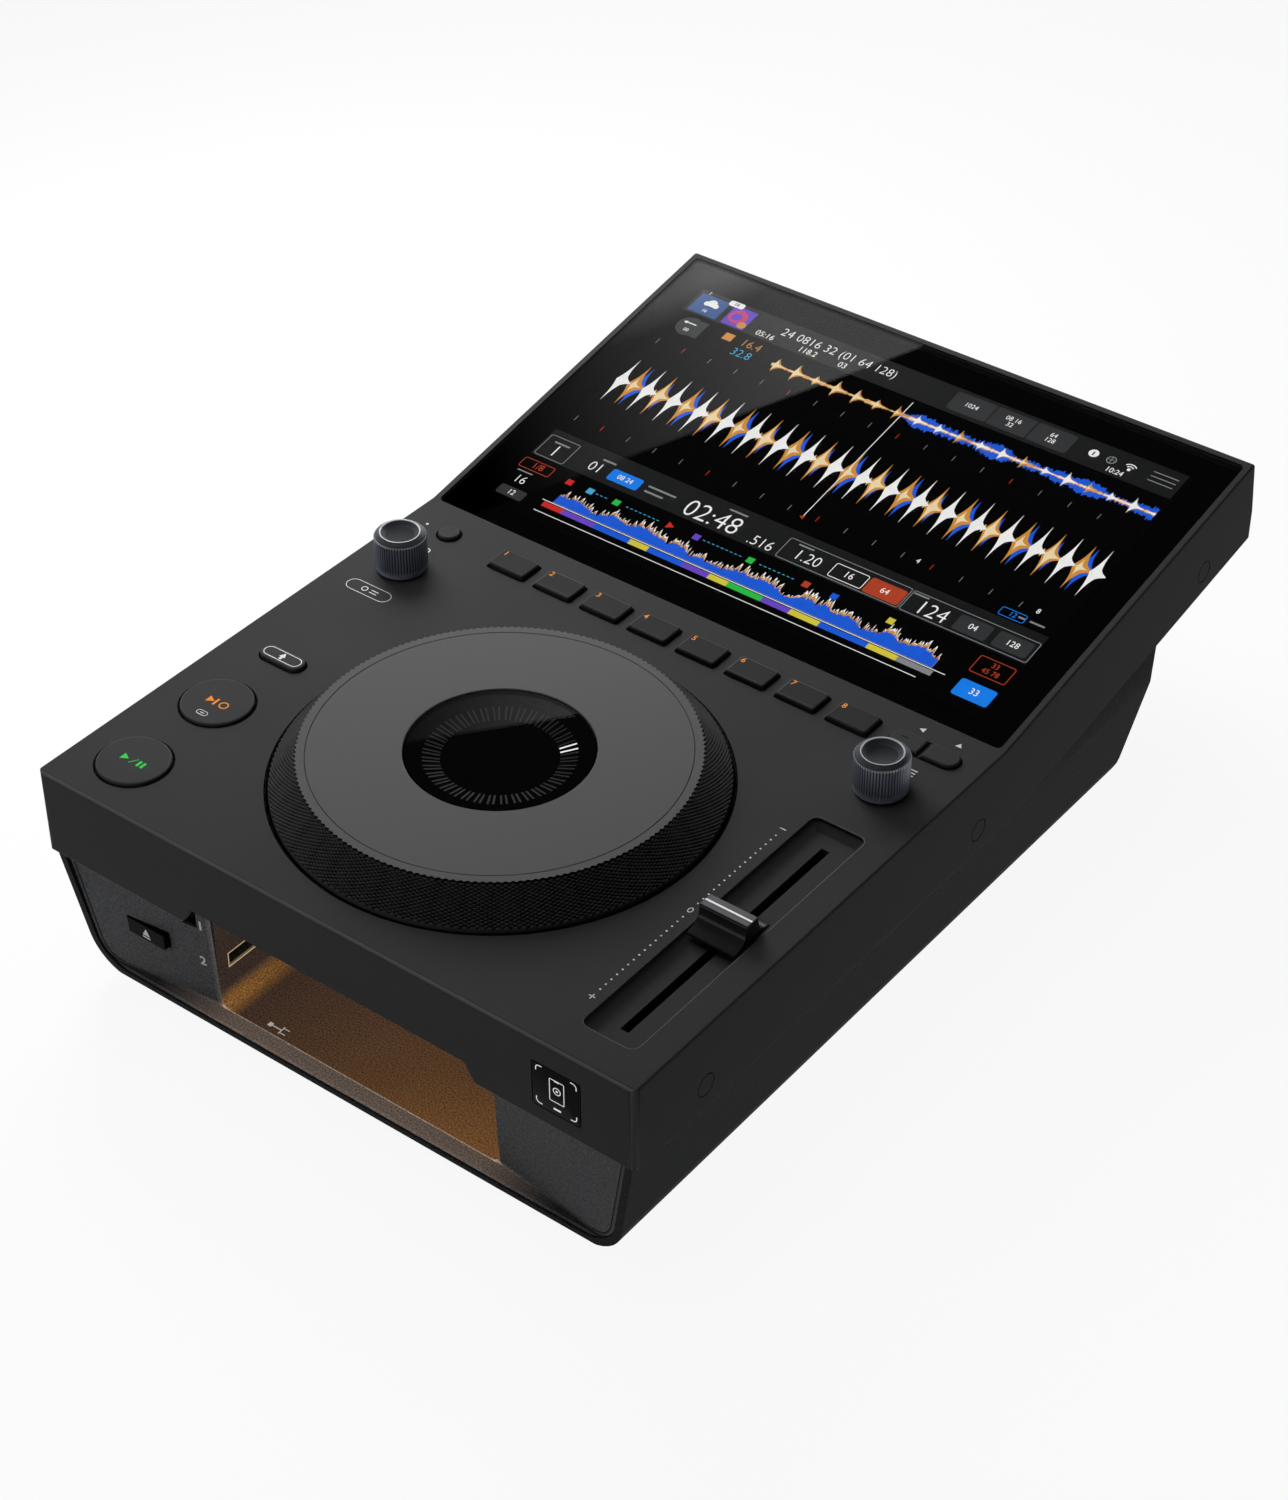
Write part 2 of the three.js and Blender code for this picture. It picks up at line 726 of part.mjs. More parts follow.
// Upper case: one bent shell, open underneath, with every opening of the deck and screen
function makeTopCase() {
  const everyHeight = [-overallLength, overallLength];
  const plan = rectangle(caseWidth, overallLength, cornerRound, 0, overallLength / 2);
  const outside = slabOutline(0, 0, caseThickness, 0, 0, slabRound);
  const slab = runX(outside, -halfWidth, halfWidth, edgeRound, 2, 2);
  let body = solid(slab).intersect(solid(raise(plan, ...everyHeight)));

  const cavity = slabOutline(caseWall, screenWall, caseThickness + overrun, caseWall, caseWall);
  body = cut(body, solid(runX(cavity, -innerHalf, innerHalf)));

  const pocketWidth = recessWidth + 2 * recessWall;
  const pocketLength = recessLength + 2 * recessWall;
  const pocket = rectangle(pocketWidth, pocketLength, recessCorner, faderX, faderY);
  const bosses = boardBosses.map(([x, y]) => solid(
    rod(bossRadius, x, y, -boardDepth + seatGap, -caseWall / 2, 8)));
  body = join(body, solid(raise(pocket, recessUnderside, -caseWall / 2)), ...bosses);

  const recess = raise(
    rectangle(recessWidth, recessLength, recessCorner, faderX, faderY),
    -recessDepth, recessDepth, recessFillet);
  const recessTop = raise(
    rectangle(recessWidth, recessLength, recessCorner, faderX, faderY), -recessDepth / 4, overrun);
  const slot = rectangle(slotWidth, slotLength, 0, faderX, faderY);
  const buttonHoles = deckButtons.map(({ x, y, shape }) => solid(
    raise(shape(runGap), -caseWall - overrun, overrun).translate(x, y, 0)));
  const knobHoles = knobs.map(({ x }) => solid(
    rod(bushingRadius + seatGap, x, knobY, -caseWall - overrun, overrun, 24)));
  body = cut(
    body,
    solid(recess),
    solid(recessTop),
    solid(raise(slot, recessUnderside - overrun, 0)),
    solid(rod(jogHoleRadius, 0, jogY, -caseWall - overrun, overrun, jogHoleSegments)),
    ...buttonHoles,
    ...knobHoles,
  );

  const glassSeat = glassThickness + seatGap;
  const glassHole = rectangle(
    glassWidth + 2 * seatGap, glassLength + seatGap, glassCorner, 0, (glassLength + seatGap) / 2);
  const panelHole = rectangle(panelWidth + 2 * seatGap, panelHeight + 2 * seatGap, 0, 0, panelY);
  body = cut(
    body,
    solid(raise(glassHole, -glassSeat, overrun), screenFrame),
    solid(raise(panelHole, -screenWall - caseWall, 0), screenFrame),
  );

  const notchHalf = notchWidth / 2;
  const notch = outline([
    [-notchHalf - notchSlope, -caseThickness - notchHeight],
    [notchHalf + notchSlope, -caseThickness - notchHeight],
    [notchHalf - notchSlope, -caseThickness + notchHeight],
    [-notchHalf + notchSlope, -caseThickness + notchHeight],
  ]);
  const windowSeat = touchWindowThickness + seatGap;
  const windowHole = rectangle(
    touchWindowWidth + 2 * seatGap, touchWindowHeight + 2 * seatGap, touchWindowRound,
    touchWindowX, -touchWindowDepth);
  const capSeat = sideCapThickness + seatGap;
  const capHoles = sideCaps.flatMap(({ y, z }) => [
    solid(rodX(sideCapRadius + seatGap, y, z, halfWidth - capSeat, halfWidth + overrun)),
    solid(rodX(sideCapRadius + seatGap, y, z, -halfWidth - overrun, -halfWidth + capSeat)),
  ]);
  return cut(
    body,
    solid(runY(notch, -overrun, caseWall + overrun)),
    solid(runY(windowHole, -overrun, windowSeat)),
    ...capHoles,
  );
}

// Lower tray: a U section with drafted sides, open at the front and on top
function makeTray() {
  const rimY = (z) => rimSetback - (z + caseThickness) * Math.tan(rimLean);
  const openFront = () => -overrun;
  const outer = solid(runY(traySection(0, caseThickness), -overrun, trayLength + overrun, 4))
    .intersect(solid(runX(trayProfile(0, rimY), -halfWidth, halfWidth)));
  const hollow = traySection(trayWall, caseThickness + overrun);
  const inner = solid(runY(hollow, -overrun, trayLength + overrun, 4))
    .intersect(solid(runX(trayProfile(trayWall, openFront), -halfWidth, halfWidth)));
  const above = slabOutline(
    -deckLength, -deckLength, caseThickness + seatGap, -overrun, -screenLength);
  let body = cut(outer, inner, solid(runX(above, -caseWidth, caseWidth)));

  const tongueReach = [tongueFront, trayLength - tongueRearGap];
  const band = slabOutline(
    caseThickness - tongueHeight, caseThickness - tongueHeight, caseThickness + tongueHeight / 2, 0, 0);
  for (const side of [-1, 1]) {
    const outside = side * (innerHalf - seatGap);
    const across = [outside, outside - side * tongueWall].sort((p, q) => p - q);
    const tongue = solid(runX(band, ...across))
      .intersect(solid(block(across, tongueReach, [-trayDepth, caseThickness])));
    body = join(body, tongue);
  }

  const bosses = [];
  for (const x of [mainBoardX[0] + mainBossInset, mainBoardX[1] - mainBossInset]) {
    for (const y of [mainBoardY[0] + mainBossInset, mainBoardY[1] - mainBossInset]) {
      bosses.push(solid(rod(
        mainBossRadius, x, y, trayFloor - trayWall / 2, trayFloor + mainBoardHeight, 12)));
    }
  }
  body = join(body, ...bosses);

  const footSeats = feet().map(({ x, y }) => solid(
    rod(footRadius + seatGap, x, y, -trayDepth - overrun, -trayDepth + footSeatDepth, 20)));
  const wall = [-trayWall - overrun, overrun];
  const rearHole = (width, height, x) => runY(
    rectangle(width + 2 * seatGap, height + 2 * seatGap, 0, x, -rearRowDrop), ...wall);
  const rearCuts = [
    rearHole(inletWidth, inletHeight, inletX),
    rearHole(netPortWidth, netPortHeight, netPortX),
    rodY(powerButtonRadius + runGap, powerButtonX, -rearRowDrop, ...wall, 24),
    ...jackXs().map((x) => rodY(jackRadius + seatGap, x, -rearRowDrop, ...wall)),
  ];
  return cut(body, ...footSeats, ...rearCuts.map((shape) => solid(shape, rearFrame)));
}

function feet() {
  return [[-footX, footFrontY], [footX, footFrontY], [-footX, footRearY], [footX, footRearY]]
    .map(([x, y], i) => ({ name: `foot_${i + 1}`, x, y }));
}

function jackXs() {
  return [jacksX - jackPitch / 2, jacksX + jackPitch / 2];
}

// Front liner: two angled wings, a strip behind the rim, and the box of the USB bay
function makeBayLiner() {
  const linerTop = -bayCeilingDepth + linerWall;
  const inside = traySection(trayWall + seatGap, linerTop);
  const section = solid(runY(inside, caseWall + seatGap, bayBack + overrun, 4));
  const wings = [-1, 1].map((side) => {
    const plan = [
      [side * bayHalf, bayFront],
      [side * halfWidth, bayFront - wingSlope * (halfWidth - bayHalf)],
      [side * halfWidth, bayFront - wingSlope * (halfWidth - bayHalf) + wingWall],
      [side * bayHalf, bayFront + wingWall],
    ];
    const lean = new THREE.Matrix4()
      .makeTranslation(0, 0, -bayFloorDepth)
      .multiply(new THREE.Matrix4().makeRotationX(wingLean));
    const wing = raise(outline(side > 0 ? plan : plan.reverse()), -overrun, trayDepth);
    return solid(wing, lean).intersect(section);
  });
  const strip = solid(block(
    [-halfWidth, halfWidth], [stripFront, bayFront + wingWall], [-trayDepth, -bayFloorDepth]))
    .intersect(section);
  const boxSides = [-bayHalf - linerWall, bayHalf + linerWall];
  const box = block(
    boxSides, [bayFront, bayBack + linerWall], [-bayFloorDepth - linerWall, linerTop]);
  const ceiling = block(
    boxSides, [caseWall + seatGap, bayFront + wingWall], [-bayCeilingDepth, linerTop]);
  const body = join(solid(box).intersect(section), solid(ceiling), ...wings, strip);

  const hollow = outline([
    [-bayHalf, -bayFloorDepth, bayCornerRound],
    [bayHalf, -bayFloorDepth, bayCornerRound],
    [bayHalf, -bayCeilingDepth],
    [-bayHalf, -bayCeilingDepth],
  ]);
  const wingSocketHole = block(
    around(wingSocketX, socketHeight + 2 * seatGap), [-overrun, socketY],
    around(-wingSocketDepth, socketWidth + 2 * seatGap));
  const baySocketHole = block(
    [usbBoardX, 0], around(socketY, socketWidth + 2 * seatGap),
    around(-baySocketDepth, socketHeight + 2 * seatGap));
  const ejectHole = block(
    around(ejectX, ejectWidth + 2 * runGap), [-overrun, bayBack],
    around(-ejectDepth, ejectHeight + 2 * runGap));
  return cut(
    body, solid(runY(hollow, -overrun, bayBack)),
    solid(wingSocketHole), solid(baySocketHole), solid(ejectHole));
}

// USB socket drawn facing +X with its mouth at x = 0, then placed
function makeSocket(length, place) {
  const wide = socketWidth - 2 * socketShell;
  const shell = block([-length, 0], around(0, socketWidth), around(0, socketHeight));
  const well = block(
    [socketBack - length, overrun], around(0, wide), around(0, socketHeight - 2 * socketShell));
  const tongueTop = socketHeight / 2 - 2 * socketShell;
  const tongue = block(
    [socketBack / 2 - length, -tongueSink], around(0, wide - 2 * socketShell),
    [tongueTop - tongueThickness, tongueTop]);
  return join(cut(solid(shell, place), solid(well, place)), solid(tongue, place));
}

function baySocket() {
  const mouth = -bayHalf - socketShell;
  const place = new THREE.Matrix4().makeTranslation(mouth, socketY, -baySocketDepth);
  return makeSocket(mouth - usbBoardX - seatGap, place);
}

function wingSocket() {
  const mouth = wingFaceY(wingSocketX, -wingSocketDepth) + 2 * socketShell;
  const turn = new THREE.Matrix4().makeBasis(
    new THREE.Vector3(0, -1, 0), new THREE.Vector3(0, 0, 1), new THREE.Vector3(-1, 0, 0));
  const place = new THREE.Matrix4().makeTranslation(wingSocketX, mouth, -wingSocketDepth).multiply(turn);
  return makeSocket(wingSocketLength, place);
}

function makeUsbBoard() {
  return solid(block(
    [usbBoardX - boardThickness, usbBoardX],
    [socketY - socketWidth / 2, socketY + socketWidth / 2 + usbBoardMargin],
    [-baySocketDepth - usbBoardMargin, -wingSocketDepth + usbBoardMargin]));
}

function wingFaceY(x, z) {
  return bayFront - wingSlope * (Math.abs(x) - bayHalf) - (z + bayFloorDepth) * Math.tan(wingLean);
}

function makeEjectButton() {
  const front = wingFaceY(ejectX, -ejectDepth) - ejectReach;
  const behind = wingFaceY(ejectX + ejectWidth / 2, -ejectDepth - ejectHeight / 2) + wingWall + seatGap;
  const cap = runY(
    rectangle(ejectWidth, ejectHeight, buttonEdge, ejectX, -ejectDepth), front, front + ejectBody, 1);
  const lip = block(
    around(ejectX, ejectWidth + 2 * ejectLip), [behind, behind + ejectLipThickness],
    around(-ejectDepth, ejectHeight + 2 * ejectLip));
  return join(solid(cap), solid(lip));
}

// Deck button: a cap with a soft edge, a flange that holds it under the deck, and a stem
function makeDeckButton({ x, y, shape, rise, travel, stemX = 0 }) {
  const capBottom = flangeTop - flangeThickness;
  const stemBottom = switchTop + travel + seatGap;
  const cap = raise(shape(0), capBottom, rise, buttonEdge);
  const flange = raise(shape(flangeWidth), capBottom, flangeTop);
  const stem = rod(stemRadius, stemX, 0, stemBottom, flangeTop, 8);
  const place = new THREE.Matrix4().makeTranslation(x, y, 0);
  return join(solid(cap, place), solid(flange, place), solid(stem, place));
}

// Control board: a plate round three sides of the jog, with a switch under every button
function makeControlBoard() {
  const plate = outline([
    [-boardEdge, boardFrontY],
    [boardInnerX, boardFrontY],
    [boardInnerX, boardStripY],
    [boardRightX, boardStripY],
    [boardRightX, boardRightY],
    [boardEdge, boardRightY],
    [boardEdge, boardBackY],
    [-boardEdge, boardBackY],
  ]);
  const switches = deckButtons.map(({ x, y, stemX = 0 }) => solid(block(
    around(x + stemX, switchSize), around(y, switchSize), [-boardDepth - boardThickness, switchTop])));
  return join(solid(raise(plate, -boardDepth - boardThickness, -boardDepth)), ...switches);
}

// Knob: a smooth band, fine flutes above it, a bright rim and a dished top
function makeKnob(x) {
  const inner = knobRadius - knobFluteDepth;
  const top = knobLift + knobHeight;
  const flutes = new THREE.Shape();
  for (let i = 0; i < 2 * knobFlutes; i += 1) {
    const turn = Math.PI * i / knobFlutes;
    const radius = i % 2 === 0 ? knobRadius : inner;
    const [px, py] = [radius * Math.cos(turn), radius * Math.sin(turn)];
    if (i === 0) flutes.moveTo(px, py);
    else flutes.lineTo(px, py);
  }
  const core = turned([
    [0, knobLift],
    [knobRadius, knobLift],
    [knobRadius, knobLift + knobBandHeight],
    [inner - seatGap, knobLift + knobBandHeight],
    [inner - seatGap, top - knobRimHeight],
    [knobRimRadius, top],
    [knobDishRadius, top],
    [knobDishRadius - seatGap, top - knobDishDepth],
    [0, top - knobDishDepth],
  ], knobFlutes, x, knobY);
  const grip = raise(flutes, knobLift + knobBandHeight / 2, top - knobRimHeight).translate(x, knobY, 0);
  const cavity = rod(knobCavityRadius, x, knobY, -overrun, knobLift + knobCavityHeight, 24);
  const bore = rod(shaftRadius + seatGap, x, knobY, -overrun, shaftReach + seatGap, 16);
  return cut(join(solid(core), solid(grip)), solid(cavity), solid(bore));
}

function makeEncoder(x) {
  const bottom = -boardDepth + seatGap;
  const can = block(around(x, encoderSize), around(knobY, encoderSize), [bottom, bottom + encoderHeight]);
  const bushing = rod(bushingRadius, x, knobY, bottom + encoderHeight / 2, 0, 24);
  const bore = rod(shaftRadius + seatGap, x, knobY, bottom + seatGap + smallButtonTravel, overrun, 16);
  return cut(join(solid(can), solid(bushing)), solid(bore));
}

function makeShaft(x) {
  const bottom = -boardDepth + 3 * seatGap + 2 * smallButtonTravel;
  return solid(rod(shaftRadius, x, knobY, bottom, shaftReach, 16));
}

// Fader: a long can under the recess, a lever through the slot and a waisted cap
function makeFaderBody() {
  const top = recessUnderside - seatGap;
  const length = slotLength + 2 * faderBodyEnd;
  const can = block(around(faderX, faderBodyWidth), around(faderY, length), [top - faderBodyDepth, top]);
  const channel = block(
    around(faderX, slotWidth), around(faderY, slotLength),
    [top - faderBodyDepth + faderBodyFloor, overrun]);
  return cut(solid(can), solid(channel));
}

function makeFaderLever() {
  return solid(block(
    around(faderX, leverWidth), around(faderY, leverLength), [recessUnderside - leverFoot, leverTip]));
}

function makeFaderCap() {
  const top = capBase + capHeight;
  const shoulder = capBase + capFootHeight;
  const [foot, ridge] = [capLength / 2, capRidge / 2];
  const profile = new THREE.Shape();
  profile.moveTo(faderY - foot, capBase);
  profile.lineTo(faderY + foot, capBase);
  profile.lineTo(faderY + foot, shoulder);
  profile.quadraticCurveTo(faderY + ridge, shoulder, faderY + ridge, top - capEdge);
  profile.lineTo(faderY + ridge - capEdge, top);
  profile.lineTo(faderY - ridge + capEdge, top);
  profile.lineTo(faderY - ridge, top - capEdge);
  profile.quadraticCurveTo(faderY - ridge, shoulder, faderY - foot, shoulder);
  const body = runX(profile, faderX - capWidth / 2, faderX + capWidth / 2, 0, 8);
  const socket = block(
    around(faderX, leverWidth + 2 * seatGap), around(faderY, leverLength + 2 * seatGap),
    [capBase - overrun, leverTip + seatGap]);
  return cut(solid(body), solid(socket));
}

// Jog: a fixed base with a hollow post, a sleeve bearing, and a rim and plate that turn
function makeJogBase() {
  const bottom = -jogBaseDepth;
  const floor = bottom + jogBaseFloor;
  const ledge = postTop - jogDisplayThickness - 2 * seatGap;
  return solid(ring([
    [jogPostBore, bottom],
    [jogBaseRadius, bottom],
    [jogBaseRadius, flangeTop],
    [jogBaseRadius - jogBaseWall, flangeTop],
    [jogBaseRadius - jogBaseWall, floor],
    [jogPostRadius, floor],
    [jogPostRadius, postTop],
    [jogDisplayRadius + seatGap, postTop],
    [jogDisplayRadius + seatGap, ledge],
    [jogPostBore, ledge],
  ], jogInnerSegments, 0, jogY));
}

function makeJogBearing() {
  const inner = jogPostRadius + seatGap;
  return solid(ring([
    [inner, hubBottom],
    [inner + jogBearingWall, hubBottom],
    [inner + jogBearingWall, hubBottom + jogBearingHeight],
    [inner, hubBottom + jogBearingHeight],
  ], jogInnerSegments, 0, jogY));
}

function makeJogRim() {
  const webTop = jogWebBottom + jogWebThickness;
  const coneTop = jogTop - jogConeDrop;
  const seatBottom = rimSeat - jogWebThickness;
  const plateSeat = jogPlateRadius + seatGap;
  return solid(ring([
    [hubBore, hubBottom],
    [hubRadius, hubBottom],
    [hubRadius, jogWebBottom],
    [jogOuterRadius, jogWebBottom],
    [jogOuterRadius, jogConeBase],
    [jogConeTopRadius, coneTop],
    [plateSeat, coneTop],
    [plateSeat, rimSeat],
    [plateSeat - jogSeatWidth, rimSeat],
    [plateSeat - jogSeatWidth, seatBottom],
    [jogConeTopRadius - jogConeWall, seatBottom],
    [jogOuterRadius - jogConeWall, webTop],
    [hubRadius, webTop],
    [hubRadius, rimSeat],
    [hubBore, rimSeat],
  ], jogSegments, 0, jogY));
}

function makeJogPlate() {
  return solid(ring([
    [jogPlateHole, plateBottom],
    [jogPlateRadius, plateBottom],
    [jogPlateRadius, jogTop],
    [jogPlateHole, jogTop],
  ], jogSegments, 0, jogY));
}

function makeJogDisc() {
  return solid(ring([
    [hubRadius + seatGap, hubBottom],
    [jogDiscRadius, hubBottom],
    [jogDiscRadius, hubBottom + jogDiscThickness],
    [hubRadius + seatGap, hubBottom + jogDiscThickness],
  ], jogInnerSegments, 0, jogY));
}

function makeJogSensor() {
  const floor = -jogBaseDepth + jogBaseFloor + seatGap;
  const inner = jogDiscRadius - sensorOverlap;
  const body = block(
    [inner, inner + sensorLength], around(jogY, sensorWidth), [floor, floor + sensorHeight]);
  const slot = block(
    [inner - overrun, jogDiscRadius + 2 * seatGap], around(jogY, sensorWidth + overrun),
    around(hubBottom + jogDiscThickness / 2, sensorSlot));
  return cut(solid(body), solid(slot));
}

// Screen stack, in the screen's own frame
function makeGlass() {
  return solid(raise(
    rectangle(glassWidth, glassLength - seatGap, glassCorner, 0, (glassLength + seatGap) / 2),
    -glassThickness, 0));
}

function makePanel() {
  const top = -glassThickness - seatGap;
  return solid(raise(rectangle(panelWidth, panelHeight, 0, 0, panelY), top - panelThickness, top));
}

function makeBracket() {
  const lipWidth = panelWidth + 2 * bracketLip;
  const lipHeight = panelHeight + 2 * bracketLip;
  const bottom = -glassThickness - panelThickness - 2 * seatGap - bracketThickness;
  const rimTop = -screenWall - seatGap;
  const pan = raise(rectangle(lipWidth, lipHeight, 0, 0, panelY), bottom, rimTop);
  const well = raise(rectangle(
    lipWidth - 2 * bracketRimWall, lipHeight - 2 * bracketRimWall, 0, 0, panelY),
  bottom + bracketThickness, rimTop + overrun);
  return cut(solid(pan), solid(well));
}

function makeBackCover() {
  const rearTop = trayLength - trayWall - deckLength;
  const front = rearTop / Math.cos(screenTilt) - coverOverlap;
  const side = innerHalf - seatGap;
  return solid(block(
    [-side, side], [front, screenEnd - caseWall - seatGap],
    [-caseThickness, -caseThickness + coverThickness]));
}

// Main board with its processor's heat sink and chips
function makeMainBoard() {
  const top = mainBoardTop;
  const plate = solid(block(mainBoardX, mainBoardY, [top - boardThickness, top]));
  const sinkBase = solid(block(
    around(heatSinkX, heatSinkSize), around(heatSinkY, heatSinkSize),
    [top - boardThickness / 2, top + finBase]));
  const pitch = (heatSinkSize - finThickness) / (finCount - 1);
  const fins = Array.from({ length: finCount }, (_, i) => solid(block(
    around(heatSinkX - (heatSinkSize - finThickness) / 2 + pitch * i, finThickness),
    around(heatSinkY, heatSinkSize), [top + finBase / 2, top + heatSinkHeight])));
  const chips = [-1, 1].map((side) => solid(block(
    around(heatSinkX + side * heatSinkSize, chipSize), around(heatSinkY - heatSinkSize, chipSize),
    [top - boardThickness / 2, top + chipHeight])));
  return join(plate, sinkBase, ...fins, ...chips);
}

function makePowerSupply() {
  const bottom = trayFloor + seatGap;
  const [front, back] = supplyY;
  const can = block(supplyX, [front, back - supplyStepLength], [bottom, bottom + supplyHeight]);
  const step = block(
    supplyX, [back - supplyStepLength - boardThickness, back], [bottom, bottom + supplyStepHeight]);
  return join(solid(can), solid(step));
}

// Rear sockets, in the rear wall's frame: y is 0 on the wall's outside
function makeInlet() {
  const z = -rearRowDrop;
  const body = runY(rectangle(inletWidth, inletHeight, 0, inletX, z), -inletDepth, seatGap);
  const flange = runY(
    rectangle(inletWidth + 2 * inletFlange, inletHeight + 2 * inletFlange, inletFlange, inletX, z),
    seatGap, seatGap + inletFlangeThickness);
  const mouth = seatGap + inletFlangeThickness;
  const well = block(
    around(inletX, inletWellWidth), [mouth - inletWellDepth, overrun], around(z, inletWellHeight));
  const pins = [-1, 0, 1].map((i) => solid(block(
    around(inletX + i * inletPinPitch, inletPinWidth),
    [mouth - inletWellDepth - inletPinWidth, mouth - inletWellDepth + inletPinLength],
    around(z - inletPinDrop, inletPinHeight))));
  return join(cut(join(solid(body), solid(flange)), solid(well)), ...pins);
}

function makePowerButton() {
  const z = -rearRowDrop;
  const lipFront = -trayWall - seatGap;
  const cap = rodY(powerButtonRadius, powerButtonX, z, lipFront - powerButtonBody, powerButtonReach, 24);
  const lip = rodY(
    powerButtonRadius + flangeWidth, powerButtonX, z, lipFront - flangeThickness, lipFront, 24);
  return join(solid(cap), solid(lip));
}

function makeAudioJacks() {
  const z = -rearRowDrop;
  const front = -trayWall - seatGap;
  const base = solid(block(
    [jacksX - jackPitch / 2 - jackBlockMargin, jacksX + jackPitch / 2 + jackBlockMargin],
    [front - jackBlockDepth, front], around(z, jackBlockHeight)));
  const barrels = jackXs().map((x) => solid(rodY(jackRadius, x, z, front - jackBlockDepth / 2, jackReach)));
  const bores = jackXs().map((x) => solid(
    rodY(jackBore, x, z, jackReach - jackBoreDepth, jackReach + overrun, 12)));
  return cut(join(base, ...barrels), ...bores);
}

function makeNetPort() {
  const z = -rearRowDrop;
  const body = block(
    around(netPortX, netPortWidth), [-netPortDepth, netPortReach], around(z, netPortHeight));
  const well = block(
    around(netPortX, netWellWidth), [netPortReach - netWellDepth, overrun], around(z, netWellHeight));
  return cut(solid(body), solid(well));
}

// Finishes
const darkPlastic = { color: 0x2b2b2d, roughness: 0.6, metalness: 0 };
const trayPlastic = { color: 0x333335, roughness: 0.75, metalness: 0 };
const blackPlastic = { color: 0x0d0d0e, roughness: 0.45, metalness: 0 };
const rubber = { color: 0x161616, roughness: 0.9, metalness: 0 };
const glass = { color: 0x050506, roughness: 0.08, metalness: 0 };
const greyMetal = { color: 0x57585a, roughness: 0.4, metalness: 0.6 };
const brightMetal = { color: 0xb8babd, roughness: 0.3, metalness: 1 };
const knobMetal = { color: 0x3c4048, roughness: 0.35, metalness: 0.7 };
const boardGreen = { color: 0x1f4a2c, roughness: 0.6, metalness: 0 };
const steel = { color: 0x9a9da0, roughness: 0.45, metalness: 0.9 };

const player = new THREE.Group();
const deck = new THREE.Group();
const screen = new THREE.Group();
const rear = new THREE.Group();
deckFrame.decompose(deck.position, deck.quaternion, deck.scale);
screenFrame.decompose(screen.position, screen.quaternion, screen.scale);
rearFrame.decompose(rear.position, rear.quaternion, rear.scale);
player.add(deck);
deck.add(screen, rear);

piece('top_case', makeTopCase(), darkPlastic, deck);
piece('bottom_tray', makeTray(), trayPlastic, deck);
piece('bay_liner', makeBayLiner(), trayPlastic, deck);
piece('screen_back_cover', makeBackCover(), darkPlastic, screen);

piece('display_glass', makeGlass(), glass, screen);
piece('display_panel', makePanel(), blackPlastic, screen);
piece('display_bracket', makeBracket(), steel, screen);

piece('jog_base', makeJogBase(), blackPlastic, deck);
piece('jog_bearing', makeJogBearing(), brightMetal, deck);
piece('jog_rim', makeJogRim(), blackPlastic, deck);
piece('jog_plate', makeJogPlate(), greyMetal, deck);
piece('jog_encoder_disc', makeJogDisc(), steel, deck);
piece('jog_sensor', makeJogSensor(), blackPlastic, deck);
piece('jog_display', solid(rod(
  jogDisplayRadius, 0, jogY, postTop - jogDisplayThickness - seatGap, postTop - seatGap,
  jogInnerSegments)), boardGreen, deck);
piece('jog_window', solid(rod(
  jogWindowRadius, 0, jogY, windowTop - jogWindowThickness, windowTop, jogSegments)), glass, deck);

for (const button of deckButtons) {
  piece(button.name, makeDeckButton(button), darkPlastic, deck);
}
piece('eject_button', makeEjectButton(), blackPlastic, deck);

for (const { name, x } of knobs) {
  piece(`${name}_knob`, makeKnob(x), knobMetal, deck);
  piece(`${name}_shaft`, makeShaft(x), brightMetal, deck);
  piece(`${name}_encoder`, makeEncoder(x), steel, deck);
}

piece('fader_cap', makeFaderCap(), blackPlastic, deck);
piece('fader_lever', makeFaderLever(), brightMetal, deck);
piece('fader_body', makeFaderBody(), steel, deck);

piece('control_board', makeControlBoard(), boardGreen, deck);
piece('main_board', makeMainBoard(), boardGreen, deck);
piece('power_supply', makePowerSupply(), steel, deck);
piece('usb_board', makeUsbBoard(), boardGreen, deck);
piece('usb_socket_1', wingSocket(), brightMetal, deck);
piece('usb_socket_2', baySocket(), brightMetal, deck);

piece('touch_window', solid(runY(
  rectangle(touchWindowWidth, touchWindowHeight, touchWindowRound, touchWindowX, -touchWindowDepth),
  0, touchWindowThickness)), glass, deck);

piece('mains_inlet', makeInlet(), blackPlastic, rear);
piece('power_button', makePowerButton(), blackPlastic, rear);
piece('audio_jacks', makeAudioJacks(), brightMetal, rear);
piece('network_port', makeNetPort(), steel, rear);

for (const { name, x, y } of feet()) {
  piece(name, solid(raise(
    circle(footRadius, 20, x, y), -trayDepth - footHeight, -trayDepth + footSeatDepth - seatGap, footEdge)),
  rubber, deck);
}

sideCaps.forEach(({ y, z }, i) => {
  const inside = halfWidth - sideCapThickness;
  piece(`side_cap_right_${i + 1}`, solid(rodX(sideCapRadius, y, z, inside, halfWidth)), darkPlastic, deck);
  piece(`side_cap_left_${i + 1}`, solid(rodX(sideCapRadius, y, z, -halfWidth, -inside)), darkPlastic, deck);
});

export default player;
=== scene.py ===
"""Finish of a tabletop DJ media player: case, tray, jog wheel, screen, knobs, pads and fader."""

import json
import math
from functools import reduce

import bmesh
import bpy
from mathutils import Matrix, Vector, noise


